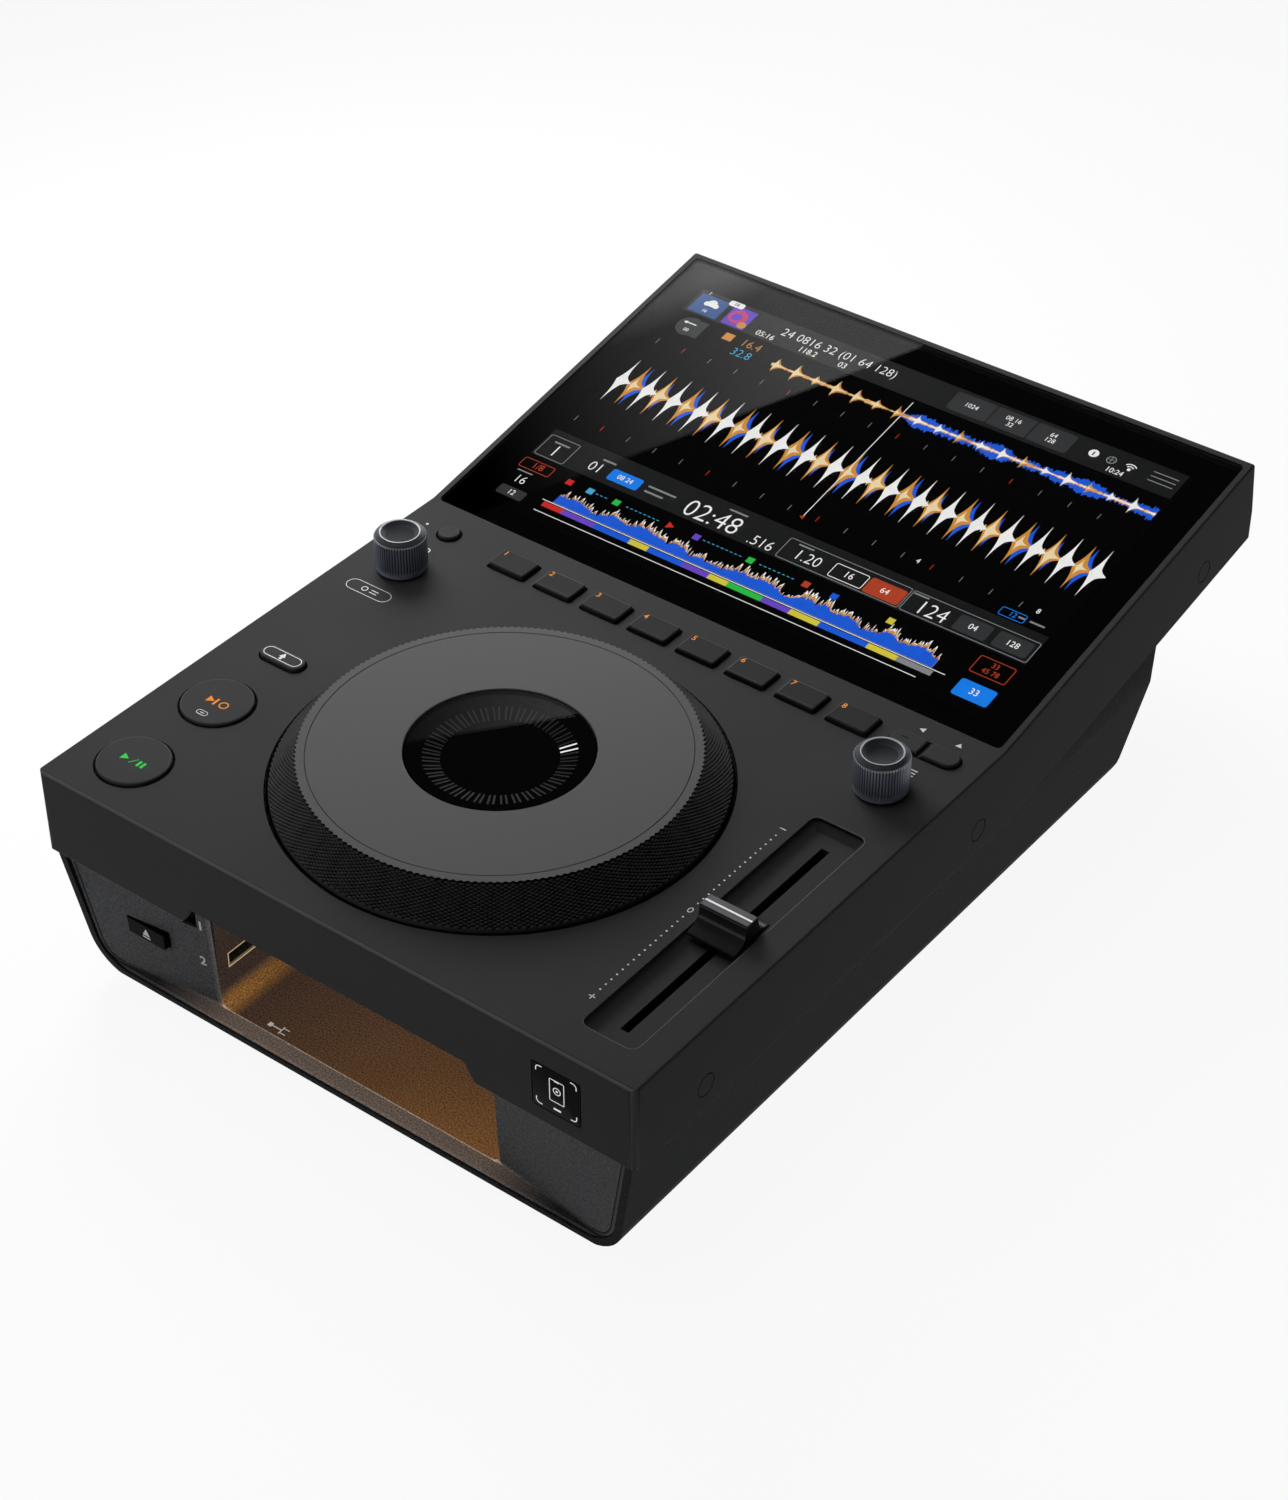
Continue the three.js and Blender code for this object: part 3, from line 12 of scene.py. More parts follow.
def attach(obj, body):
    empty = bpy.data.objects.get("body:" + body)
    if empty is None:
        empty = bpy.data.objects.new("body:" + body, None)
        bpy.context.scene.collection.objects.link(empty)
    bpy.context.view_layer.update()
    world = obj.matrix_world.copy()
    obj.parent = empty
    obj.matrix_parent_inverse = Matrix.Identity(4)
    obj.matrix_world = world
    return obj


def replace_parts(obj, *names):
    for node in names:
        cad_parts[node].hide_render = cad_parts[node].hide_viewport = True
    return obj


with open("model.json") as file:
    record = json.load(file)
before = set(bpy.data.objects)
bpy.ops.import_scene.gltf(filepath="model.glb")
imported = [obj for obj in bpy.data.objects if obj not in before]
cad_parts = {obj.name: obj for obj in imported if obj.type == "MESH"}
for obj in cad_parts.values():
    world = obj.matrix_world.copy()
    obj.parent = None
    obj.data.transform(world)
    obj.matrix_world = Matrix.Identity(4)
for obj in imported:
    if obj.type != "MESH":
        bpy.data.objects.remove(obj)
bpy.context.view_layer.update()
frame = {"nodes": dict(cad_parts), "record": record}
nodes = frame["nodes"]

# Sizes and places on the object, all in millimetres until a piece is placed
MM = 0.001
WELD = 0.0004
INK = 0.03
FRONT_Y = -184.38
DECK_Z = 87.1
FOLD_Y = 17.82
SCREEN_TILT = math.radians(10.4)
CASE_SIDE = 125
BAY_SIDE, BAY_FRONT, BAY_FLOOR = 60.7, -172.38, 7.8

# Places on the deck: x from its middle, y back from its front edge
JOG_Y = 89.9
KNOB_Y, LOOP_X, BROWSE_X = 161, -104.6, 102.6
PLAY, CUE, SHIFT = (-102.0, 22.5), (-102.0, 62.5), (-101.0, 94.2)
DELETE, PAIR = (-104.4, 187.0), (103.0, 186.5)
PADS = {number: (-72.8 + 21.1 * (number - 1), 185.6) for number in range(1, 9)}
FADER_X, FADER_Y = 103.6, 75.5
TROUGH_HALF_WIDTH, TROUGH_HALF_LENGTH = 10.4, 61.6
SCALE_X, SCALE_Y, SCALE_REACH = 89.1, 75.1, 49.8

record = frame["record"]
body_of_node = {
    node: body for body, members in record["behaviour"]["bodies"].items() for node in members}

to_metres = Matrix.Scale(MM, 4)
deck = to_metres @ Matrix.Translation((0, FRONT_Y, DECK_Z))
screen = (
    to_metres @ Matrix.Translation((0, FOLD_Y, DECK_Z)) @ Matrix.Rotation(SCREEN_TILT, 4, "X"))


def deck_spot(x, y, height):
    """A frame over the deck, as on top of a button."""
    return deck @ Matrix.Translation((x, y, height))


def upright(point, outward):
    """The frame of an upright face: x runs to the right along it, y up, z out of it."""
    out = Vector(outward).normalized()
    right = Vector((0, 0, 1)).cross(out).normalized()
    turn = Matrix((right, out.cross(right), out)).transposed().to_4x4()
    return to_metres @ Matrix.Translation(point) @ turn


def wing_face(side):
    """The frame of a front wing's face, at the eject button's place; side is -1 for the left."""
    return upright((side * 88.6, -176.5, 29.7), (-side * 0.1127, -0.9927, -0.0433))


def shade(red, green, blue):
    """A colour from its values on a 0 to 255 scale, as a screen shows them."""
    def linear(value):
        value /= 255
        return value / 12.92 if value < 0.04045 else ((value + 0.055) / 1.055) ** 2.4
    return (linear(red), linear(green), linear(blue), 1)


# Nodes of the materials
def feed(tree, socket, value):
    """Links a socket to another node's, or gives it a plain value."""
    if isinstance(value, bpy.types.NodeSocket):
        tree.links.new(value, socket)
    else:
        socket.default_value = value


def add_node(tree, kind, sockets, **settings):
    made = tree.nodes.new(kind)
    for name, value in settings.items():
        setattr(made, name, value)
    for name, value in sockets.items():
        feed(tree, made.inputs[name], value)
    return made


def calculate(tree, operation, *values):
    return add_node(
        tree, "ShaderNodeMath", dict(enumerate(values)), operation=operation).outputs["Value"]


def multiply(tree, *values):
    return reduce(lambda first, second: calculate(tree, "MULTIPLY", first, second), values)


def add(tree, *values):
    return reduce(lambda first, second: calculate(tree, "ADD", first, second), values)


def calculate_vector(tree, operation, *values, output="Vector"):
    return add_node(
        tree, "ShaderNodeVectorMath", dict(enumerate(values)),
        operation=operation).outputs[output]


def scale_vector(tree, vector, factor):
    return add_node(
        tree, "ShaderNodeVectorMath", {0: vector, "Scale": factor},
        operation="SCALE").outputs["Vector"]


def rescale(tree, value, low, high, new_low, new_high):
    return add_node(tree, "ShaderNodeMapRange", {
        "Value": value, "From Min": low, "From Max": high, "To Min": new_low,
        "To Max": new_high}).outputs["Result"]


def fade(tree, value, start, end):
    """How far a value has come from its start to its end, from 0 to 1."""
    return rescale(tree, value, start, end, 0, 1)


def vary(tree, pattern, middle, swing):
    """A value that a noise pattern moves to either side of its middle."""
    return rescale(
        tree, pattern, 0.3, 0.7, calculate(tree, "SUBTRACT", middle, swing),
        calculate(tree, "ADD", middle, swing))


def mix(tree, factor, first, second):
    return add_node(
        tree, "ShaderNodeMix", {0: factor, 6: first, 7: second}, data_type="RGBA").outputs[2]


def object_place(tree):
    return tree.nodes.new("ShaderNodeTexCoord").outputs["Object"]


def cloud(tree, scale, detail, **more):
    """A noise pattern over the object."""
    return add_node(tree, "ShaderNodeTexNoise", {
        "Vector": object_place(tree), "Scale": scale, "Detail": detail, **more}).outputs["Fac"]


FLOAT, COLOUR, VECTOR = "NodeSocketFloat", "NodeSocketColor", "NodeSocketVector"


def new_effect(name, inputs):
    """A shared effect: a node group that turns named inputs into colour, roughness and normal."""
    group = bpy.data.node_groups.new(name, "ShaderNodeTree")
    for label, kind, value in inputs:
        socket = group.interface.new_socket(name=label, in_out="INPUT", socket_type=kind)
        socket.default_value = value
    for label, kind in (("Colour", COLOUR), ("Roughness", FLOAT), ("Normal", VECTOR)):
        group.interface.new_socket(name=label, in_out="OUTPUT", socket_type=kind)
    return group, group.nodes.new("NodeGroupInput").outputs


def end_effect(group, entry, strength, pattern, uneven):
    """Wires an effect's colour, its uneven gloss and its low relief to its outputs."""
    bump = add_node(group, "ShaderNodeBump", {
        "Height": pattern, "Distance": multiply(group, entry["Relief"], MM)})
    add_node(group, "NodeGroupOutput", {
        "Colour": scale_vector(group, entry["Colour"], strength),
        "Roughness": vary(group, pattern, entry["Roughness"], uneven),
        "Normal": bump.outputs["Normal"]})


def make_moulded_grain():
    """The fine grain of a moulded face: speckled colour, uneven gloss and low relief."""
    group, entry = new_effect("moulded_grain", [
        ("Colour", COLOUR, (0.05, 0.05, 0.05, 1)), ("Size", FLOAT, 0.3), ("Speckle", FLOAT, 0.1),
        ("Roughness", FLOAT, 0.5), ("Relief", FLOAT, 0.02)])
    grain = cloud(group, calculate(group, "DIVIDE", 1 / MM, entry["Size"]), 2.0, Roughness=0.65)
    speckle = vary(group, grain, 1.0, entry["Speckle"])
    drift = vary(group, cloud(group, 22.0, 3.0), 1.0, 0.05)
    end_effect(group, entry, multiply(group, speckle, drift), grain, 0.05)
    return group


def make_turned_lines():
    """The fine rings that a lathe leaves on metal, round an upright axis."""
    group, entry = new_effect("turned_lines", [
        ("Colour", COLOUR, (0.1, 0.1, 0.1, 1)), ("Axis", VECTOR, (0, 0, 0)),
        ("Pitch", FLOAT, 0.25), ("Contrast", FLOAT, 0.08), ("Roughness", FLOAT, 0.35),
        ("Relief", FLOAT, 0.005)])
    offset = calculate_vector(group, "SUBTRACT", object_place(group), entry["Axis"])
    level = calculate_vector(group, "MULTIPLY", offset, (1, 1, 0))
    reach = calculate_vector(group, "LENGTH", level, output="Value")
    rings = calculate(group, "DIVIDE", calculate(group, "DIVIDE", reach, MM), entry["Pitch"])
    line = add_node(
        group, "ShaderNodeTexNoise", {"W": rings, "Scale": 1.0, "Detail": 2.0},
        noise_dimensions="1D").outputs["Fac"]
    end_effect(group, entry, vary(group, line, 1.0, entry["Contrast"]), line, 0.06)
    return group


moulded_grain = make_moulded_grain()
turned_lines = make_turned_lines()


def new_material(name, **plain):
    """A material, its tree, and its shader with plain values on its own sockets."""
    material = bpy.data.materials.new(name)
    material.use_nodes = True
    shader = material.node_tree.nodes["Principled BSDF"]
    for label, value in plain.items():
        shader.inputs[label.replace("_", " ")].default_value = value
    return material, material.node_tree, shader


def use_effect(tree, shader, group, values):
    """Places a shared effect, wires it to the shader, and gives back its colour."""
    effect = add_node(tree, "ShaderNodeGroup", values, node_tree=group).outputs
    feed(tree, shader.inputs["Base Color"], effect["Colour"])
    feed(tree, shader.inputs["Roughness"], effect["Roughness"])
    feed(tree, shader.inputs["Normal"], effect["Normal"])
    return effect["Colour"]


def moulded(name, colour, size, speckle, roughness, relief, **plain):
    material, tree, shader = new_material(name, **plain)
    use_effect(tree, shader, moulded_grain, {
        "Colour": colour, "Size": size, "Speckle": speckle, "Roughness": roughness,
        "Relief": relief})
    return material


def turned(name, colour, axis, pitch, contrast, roughness, **plain):
    material, tree, shader = new_material(name, **plain)
    use_effect(tree, shader, turned_lines, {
        "Colour": colour, "Axis": axis, "Pitch": pitch, "Contrast": contrast,
        "Roughness": roughness, "Relief": 0.002})
    return material


def printed(name, colour):
    """Screen-printed ink, slightly uneven over the grain below it."""
    return moulded(name, colour, 0.5, 0.12, 0.55, 0.01)


def lit(name, colour):
    """A lit face: a little brighter and darker over its area, as a lamp behind it leaves it."""
    material, tree, shader = new_material(
        name, Roughness=0.4, Base_Color=(0.01, 0.01, 0.01, 1), Emission_Strength=1.0)
    level = rescale(tree, cloud(tree, 260.0, 1.0), 0.3, 0.7, 0.94, 1.0)
    feed(tree, shader.inputs["Emission Color"], scale_vector(tree, colour[:3], level))
    return material


def make_glass():
    """Clear glass with a faint uneven film."""
    material, tree, shader = new_material(
        "screen_glass_clear", Roughness=0.0, IOR=1.5, Base_Color=(1, 1, 1, 1),
        Transmission_Weight=1.0)
    film = rescale(tree, cloud(tree, 30.0, 1.0), 0.3, 0.7, 0, 0.004)
    feed(tree, shader.inputs["Roughness"], film)
    return material


def make_liner_finish():
    """The grained liner: charcoal outside; inside the bay, painted light from its lamps: a warm
    pool of painted light, painted shade on the left wall, a painted bright stripe where the left
    wall meets the floor, painted light on the ledge in front, painted highlights along the bay's
    front edge and the left wing's edge, and a painted glow.
    """
    material, tree, shader = new_material(
        "liner_grain_painted_light", Specular_IOR_Level=0.1, Emission_Strength=1.0)
    x, y, z = add_node(tree, "ShaderNodeSeparateXYZ", {
        "Vector": scale_vector(tree, object_place(tree), 1 / MM)}).outputs
    aside = calculate(tree, "ABSOLUTE", x)
    inside = multiply(
        tree, fade(tree, aside, BAY_SIDE + 0.5, BAY_SIDE - 0.1),
        fade(tree, y, BAY_FRONT - 0.42, BAY_FRONT - 0.02), fade(tree, z, 62, 60.5))
    # Painted light: a warm pool from the bay's lamps, strongest to the right, towards the front and
    # low down.
    reach = multiply(
        tree, fade(tree, x, -50, 45), rescale(tree, y, -120, -172, 0.3, 1),
        rescale(tree, z, BAY_FLOOR, 30, 1, 0.2))
    bay_painted_light = mix(tree, reach, shade(84, 64, 52), shade(132, 92, 54))
    # Painted shade on the bay's left wall.
    left_wall_painted_shade = fade(tree, x, 0.9 - BAY_SIDE, 0.1 - BAY_SIDE)
    bay_painted_light = mix(tree, left_wall_painted_shade, bay_painted_light, shade(92, 66, 50))
    # Painted light: a bright stripe along the corner of the left wall and the floor, strongest
    # towards the front.
    from_corner = add(tree, x, z, BAY_SIDE - BAY_FLOOR)
    painted_corner_streak = multiply(
        tree, fade(tree, from_corner, 7.5, 1), rescale(tree, y, -110, -165, 0.3, 1))
    bay_painted_light = mix(tree, painted_corner_streak, bay_painted_light, shade(172, 120, 60))
    ledge = fade(tree, z, 9.5, 8.8)
    # Painted light falling from the bay onto the ledge in front, fading out towards the sides.
    painted_light_spill = fade(tree, aside, 88, 55)
    # A painted highlight on the left wing's edge beside the bay.
    wing_edge_painted_highlight = multiply(tree, fade(tree, x, -63.2, -61.2), calculate(tree, "LESS_THAN", x, 0.0))
    wing = mix(tree, wing_edge_painted_highlight, shade(90, 91, 93), shade(140, 139, 138))
    outer = mix(tree, ledge, wing, mix(tree, painted_light_spill, shade(70, 70, 70), shade(118, 104, 94)))
    # A thin painted highlight along the ledge at the bay's front edge.
    from_sill = calculate(tree, "ABSOLUTE", add(tree, y, -BAY_FRONT))
    painted_sill_highlight = multiply(tree, fade(tree, from_sill, 0.3, 0.1), ledge, fade(tree, aside, 62, 60))
    colour = mix(tree, painted_sill_highlight, mix(tree, inside, outer, bay_painted_light), shade(186, 168, 150))
    grained = use_effect(tree, shader, moulded_grain, {
        "Colour": colour, "Size": 0.6, "Speckle": 0.7, "Roughness": 0.6, "Relief": 0.05})
    # Painted glow: the bay's and the ledge's painted light is also given out as emission, though
    # the liner is no lamp.
    bay_painted_glow = multiply(tree, inside, add(
        tree, multiply(tree, reach, 0.3), multiply(tree, painted_corner_streak, 0.35), 0.25))
    ledge_painted_glow = multiply(tree, ledge, painted_light_spill, 0.42)
    glow = calculate(tree, "MAXIMUM", bay_painted_glow, ledge_painted_glow)
    feed(tree, shader.inputs["Emission Color"], scale_vector(tree, grained, glow))
    return material


LOW_SHEEN = {"Specular_IOR_Level": 0.07}
NO_SHEEN = {"Specular_IOR_Level": 0.02}
# Painted shadow for the walls of the fader's trough that face the front.
trough_painted_shadow = moulded("trough_painted_shadow", shade(26, 26, 27), 0.32, 0.1, 0.62, 0.016, **NO_SHEEN)
case_finish = moulded("case_matt", shade(56, 56, 57), 0.32, 0.10, 0.62, 0.016, **LOW_SHEEN)
# A paler colour that paints a highlight on the case's rounded edges, the trough's top edges and
# beside the wings' seams.
case_edge_highlight = moulded("case_edge_highlight", shade(92, 92, 94), 0.32, 0.08, 0.5, 0.01, **LOW_SHEEN)
tray_finish = moulded("tray_grain", shade(50, 51, 53), 0.7, 0.7, 0.6, 0.05, **NO_SHEEN)
# A paler colour that paints a highlight on the tray's rounded edges.
tray_edge_highlight = moulded("tray_edge_highlight", shade(112, 112, 113), 0.6, 0.3, 0.6, 0.02, **LOW_SHEEN)
liner_with_painted_light = make_liner_finish()
button_finish = moulded("button_matt", shade(56, 56, 57), 0.26, 0.08, 0.55, 0.012, **LOW_SHEEN)
pad_finish = moulded("pad_matt", shade(46, 46, 47), 0.26, 0.08, 0.5, 0.012, **LOW_SHEEN)
# A paler colour that paints a highlight on the rounded edges of the buttons and pads.
button_edge_highlight = moulded("button_edge_highlight", shade(66, 66, 68), 0.26, 0.08, 0.5, 0.01, **LOW_SHEEN)
black_finish = moulded("black_satin", shade(18, 18, 19), 0.3, 0.10, 0.45, 0.012, **NO_SHEEN)
grip_finish = moulded("grip_black", shade(62, 62, 63), 0.35, 0.12, 0.5, 0.01, **LOW_SHEEN)
cap_finish = moulded(
    "cap_gloss", shade(34, 34, 35), 0.5, 0.06, 0.22, 0.002, Specular_IOR_Level=0.3)
cap_band_finish = moulded("cap_band", shade(92, 93, 96), 0.3, 0.25, 0.45, 0.02)
gloss_black = moulded(
    "gloss_black", shade(4, 4, 5), 0.8, 0.05, 0.12, 0.0, Specular_IOR_Level=0.03)
panel_black = moulded("panel_black", shade(13, 13, 14), 0.5, 0.1, 0.7, 0.0, **NO_SHEEN)
dull_black = moulded("dull_black", shade(3, 3, 4), 0.5, 0.1, 0.7, 0.0, Specular_IOR_Level=0.0)
jog_axis = (0, (FRONT_Y + JOG_Y) * MM, 0)
plate_finish = turned("jog_satin", shade(85, 85, 86), jog_axis, 0.22, 0.05, 0.45, Metallic=0.3)
plated_finish = moulded("plated", shade(186, 186, 182), 0.6, 0.05, 0.3, 0.003, Metallic=0.8)
steel_finish = moulded("zinc_steel", shade(138, 141, 144), 1.6, 0.08, 0.38, 0.01, Metallic=1.0)
bronze_finish = moulded("sintered_bronze", shade(150, 112, 66), 0.3, 0.2, 0.5, 0.02, Metallic=1.0)
board_finish = moulded("board_green", shade(22, 66, 44), 1.2, 0.1, 0.35, 0.01)
rubber_finish = moulded("foot_rubber_black", shade(26, 26, 26), 0.4, 0.12, 0.75, 0.03)
glass_finish = make_glass()
white_ink = printed("white_ink", shade(250, 250, 248))
grey_ink = printed("grey_ink", shade(216, 217, 218))
orange_light = lit("orange_light", shade(232, 140, 34))
green_light = lit("green_light", shade(52, 206, 74))
white_light = lit("white_light", shade(250, 250, 250))
dim_light = lit("dim_light", shade(33, 33, 34))
# Emission that paints the bay's light on the printed plug symbol.
symbol_painted_light = lit("symbol_painted_light", shade(170, 164, 158))
# Emission that paints a glint on the USB socket's edge in the bay.
lip_painted_glint = lit("lip_painted_glint", shade(184, 158, 128))


# Shapes, in millimetres in the frame of the face they stand on
def make_piece(name, bm, place, material, body="chassis", angle=32):
    """Closes a shape, places it, and rides it on its body."""
    bmesh.ops.remove_doubles(bm, verts=bm.verts, dist=WELD)
    bmesh.ops.recalc_face_normals(bm, faces=bm.faces)
    bm.transform(place)
    mesh = bpy.data.meshes.new(name)
    bm.to_mesh(mesh)
    bm.free()
    mesh.shade_smooth()
    mesh.set_sharp_from_angle(angle=math.radians(angle))
    for finish in material if isinstance(material, list) else [material]:
        mesh.materials.append(finish)
    piece = bpy.data.objects.new(name, mesh)
    bpy.context.collection.objects.link(piece)
    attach(piece, body)
    return piece


def dress(node, material, edge=0.0, angle=32, rim=None, paint_light_and_shade=None, dark=None):
    """A merged copy of a CAD node that stands for it, with its edges rounded off; rim is a paler
    material that paints a highlight on the rounded edges, and dark a material of painted shadow.
    """
    bm = bmesh.new()
    bm.from_mesh(nodes[node].data)
    bmesh.ops.remove_doubles(bm, verts=bm.verts, dist=WELD * MM)
    bmesh.ops.dissolve_limit(
        bm, angle_limit=math.radians(0.4), verts=bm.verts, edges=bm.edges)
    bm.transform(to_metres.inverted())
    if paint_light_and_shade:
        paint_light_and_shade(bm)
    piece = make_piece(
        node + "_finish", bm, to_metres, [part for part in (material, rim, dark) if part],
        body_of_node[node], angle)
    if paint_light_and_shade:
        # Bevels on the weighted edges, in the paler second material: a painted highlight.
        highlight_bevel = piece.modifiers.new("light edge", "BEVEL")
        highlight_bevel.width = 0.35 * MM
        highlight_bevel.segments = 2
        highlight_bevel.limit_method = "WEIGHT"
        highlight_bevel.harden_normals = True
        highlight_bevel.material = 1
    # Rounded edges, which take the rim as a painted highlight where a rim is given and no faces are
    # picked out.
    if edge:
        rounding = piece.modifiers.new("edge", "BEVEL")
        rounding.width = edge * MM
        rounding.segments = 2
        rounding.limit_method = "ANGLE"
        rounding.angle_limit = math.radians(50 if paint_light_and_shade else 35)
        rounding.harden_normals = True
        rounding.material = 1 if rim and not paint_light_and_shade else -1
    weighting = piece.modifiers.new("flat faces", "WEIGHTED_NORMAL")
    weighting.keep_sharp = True
    weighting.weight = 100
    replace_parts(piece, node)
    return piece


def new_block(width, depth, bottom, top, x=0.0, y=0.0):
    bm = bmesh.new()
    bmesh.ops.create_cube(bm, size=1)
    bmesh.ops.scale(bm, vec=(width, depth, top - bottom), verts=bm.verts)
    bmesh.ops.translate(bm, vec=(x, y, (top + bottom) / 2), verts=bm.verts)
    return bm


def bevel(bm, edges, offset, segments):
    bmesh.ops.bevel(
        bm, geom=edges, offset=offset, offset_type="OFFSET", segments=segments, profile=0.5,
        affect="EDGES", material=-1)


def upright_edges(bm):
    return [e for e in bm.edges if abs(e.verts[0].co.z - e.verts[1].co.z) > WELD
            and (e.verts[0].co.xy - e.verts[1].co.xy).length < WELD]


def level_edges(bm, height):
    return [e for e in bm.edges if all(abs(v.co.z - height) < WELD for v in e.verts)]


def rounded_block(width, depth, bottom, top, corner, edge=0.0, x=0.0, y=0.0, segments=6):
    """A block with rounded upright edges, and a rounded top edge if one is given."""
    bm = new_block(width, depth, bottom, top, x, y)
    bevel(bm, upright_edges(bm), corner, segments)
    if edge:
        bevel(bm, level_edges(bm, top), edge, 3)
    return bm


def lathe(profile, steps, y=0.0):
    """A closed outline of (radius, height) points turned round the z axis."""
    bm = bmesh.new()
    points = [bm.verts.new((radius, 0, height)) for radius, height in profile]
    for start, end in zip(points, points[1:] + points[:1]):
        bm.edges.new((start, end))
    bmesh.ops.spin(
        bm, geom=bm.verts[:] + bm.edges[:], cent=(0, 0, 0), axis=(0, 0, 1),
        angle=2 * math.pi, steps=steps, use_merge=True)
    bmesh.ops.remove_doubles(bm, verts=bm.verts, dist=WELD)
    bmesh.ops.translate(bm, vec=(0, y, 0), verts=bm.verts)
    return bm


def add_slab(bm, x0, y0, x1, y1, bottom=0.0, thickness=INK, turn=0.0):
    """A flat bar between two corners, turned about its middle."""
    size = Matrix.Diagonal((x1 - x0, y1 - y0, thickness, 1))
    middle = Matrix.Translation(((x0 + x1) / 2, (y0 + y1) / 2, bottom + thickness / 2))
    bmesh.ops.create_cube(bm, size=1, matrix=middle @ Matrix.Rotation(turn, 4, "Z") @ size)


def add_frame(bm, x0, y0, x1, y1, line, bottom, thickness):
    """The outline of a box as four bars."""
    add_slab(bm, x0, y0, x1, y0 + line, bottom, thickness)
    add_slab(bm, x0, y1 - line, x1, y1, bottom, thickness)
    add_slab(bm, x0, y0 + line, x0 + line, y1 - line, bottom, thickness)
    add_slab(bm, x1 - line, y0 + line, x1, y1 - line, bottom, thickness)


def thicken(bm, faces, thickness=INK):
    """Gives flat faces their thickness."""
    raised = bmesh.ops.extrude_face_region(bm, geom=faces)
    moved = [part for part in raised["geom"] if isinstance(part, bmesh.types.BMVert)]
    bmesh.ops.translate(bm, vec=(0, 0, thickness), verts=moved)


def add_polygon(bm, sides, radius, x, y, bottom=0.0, thickness=INK, turn=0.0):
    """A flat regular shape: a triangle, a dot."""
    place = Matrix.Translation((x, y, bottom)) @ Matrix.Rotation(turn, 4, "Z")
    made = bmesh.ops.create_circle(
        bm, cap_ends=True, radius=radius, segments=sides, matrix=place)
    thicken(bm, list({face for vert in made["verts"] for face in vert.link_faces}), thickness)


def add_ring(bm, outer, inner, x, y, bottom=0.0, thickness=INK, steps=32):
    place = Matrix.Translation((x, y, bottom))
    made = bmesh.ops.create_circle(bm, radius=outer, segments=steps, matrix=place)
    hole = bmesh.ops.create_circle(bm, radius=inner, segments=steps, matrix=place)
    edges = {edge for vert in made["verts"] + hole["verts"] for edge in vert.link_edges}
    band = bmesh.ops.bridge_loops(bm, edges=list(edges))
    thicken(bm, band["faces"], thickness)


def add_pill(bm, width, depth, line, x, y, bottom=0.0, thickness=INK, corner=None):
    """The outline of a pill, or of a box with rounded corners, as a flat band."""
    shape = rounded_block(
        width, depth, 0, 1, corner or depth / 2 - 0.02, x=x, y=y, segments=4 if corner else 10)
    bmesh.ops.delete(shape, geom=[f for f in shape.faces if f.normal.z < 0.5], context="FACES")
    rim = bmesh.ops.inset_region(
        shape, faces=shape.faces[:], use_boundary=True, use_even_offset=True,
        thickness=line)["faces"]
    bmesh.ops.delete(
        shape, geom=[f for f in shape.faces if f not in set(rim)], context="FACES")
    bmesh.ops.translate(shape, vec=(0, 0, bottom - 1), verts=shape.verts)
    thicken(shape, shape.faces[:], thickness)
    join_shape(bm, shape)


def add_ribbon(bm, points, width, bottom):
    """A flat band that follows a line of points."""
    line = [Vector(point) for point in points]
    edge = None
    for index, point in enumerate(line):
        before, after = line[max(index - 1, 0)], line[min(index + 1, len(line) - 1)]
        across = Vector((before.y - after.y, after.x - before.x)).normalized() * width / 2
        ends = [(*(point + side * across), bottom) for side in (1, -1)]
        if edge is None:
            edge = bm.edges.new([bm.verts.new(end) for end in ends])
            continue
        grown = bmesh.ops.extrude_edge_only(bm, edges=[edge])["geom"]
        edge = next(part for part in grown if isinstance(part, bmesh.types.BMEdge)
                    and not any(vert in edge.verts for vert in part.verts))
        new_verts = sorted(
            edge.verts, key=lambda vert: (vert.co - Vector(ends[0])).length)
        for vert, end in zip(new_verts, ends):
            vert.co = end
    thicken(bm, bm.faces[:])


def join_shape(bm, other):
    """Adds one shape's mesh to another's, and lets it go."""
    held = bpy.data.meshes.new("held")
    other.to_mesh(held)
    other.free()
    bm.from_mesh(held)
    bpy.data.meshes.remove(held)


def add_figures(bm, text, height, x, y, bottom=0.0, narrow=1.0, bold=0.0):
    """Plain numbers, as thin raised shapes."""
    curve = bpy.data.curves.new("figures", "FONT")
    curve.body = text
    curve.size = height * 1.4
    curve.extrude = INK / 2
    curve.offset = bold
    curve.resolution_u = 3
    curve.align_x = "CENTER"
    curve.align_y = "CENTER"
    holder = bpy.data.objects.new("figures", curve)
    held = bpy.data.meshes.new_from_object(holder)
    held.transform(
        Matrix.Translation((x, y, bottom + INK / 2)) @ Matrix.Diagonal((narrow, 1, 1, 1)))
    bm.from_mesh(held)
    bpy.data.objects.remove(holder)
    bpy.data.curves.remove(curve)
    bpy.data.meshes.remove(held)


def add_marks(name, place, material, slot, body, *shapes):
    """One piece of several flat shapes, each given as the function that adds it and its values."""
    bm = bmesh.new()
    for add_shape, *values in shapes:
        add_shape(bm, *values)
    make_piece(name, bm, place, material, body)


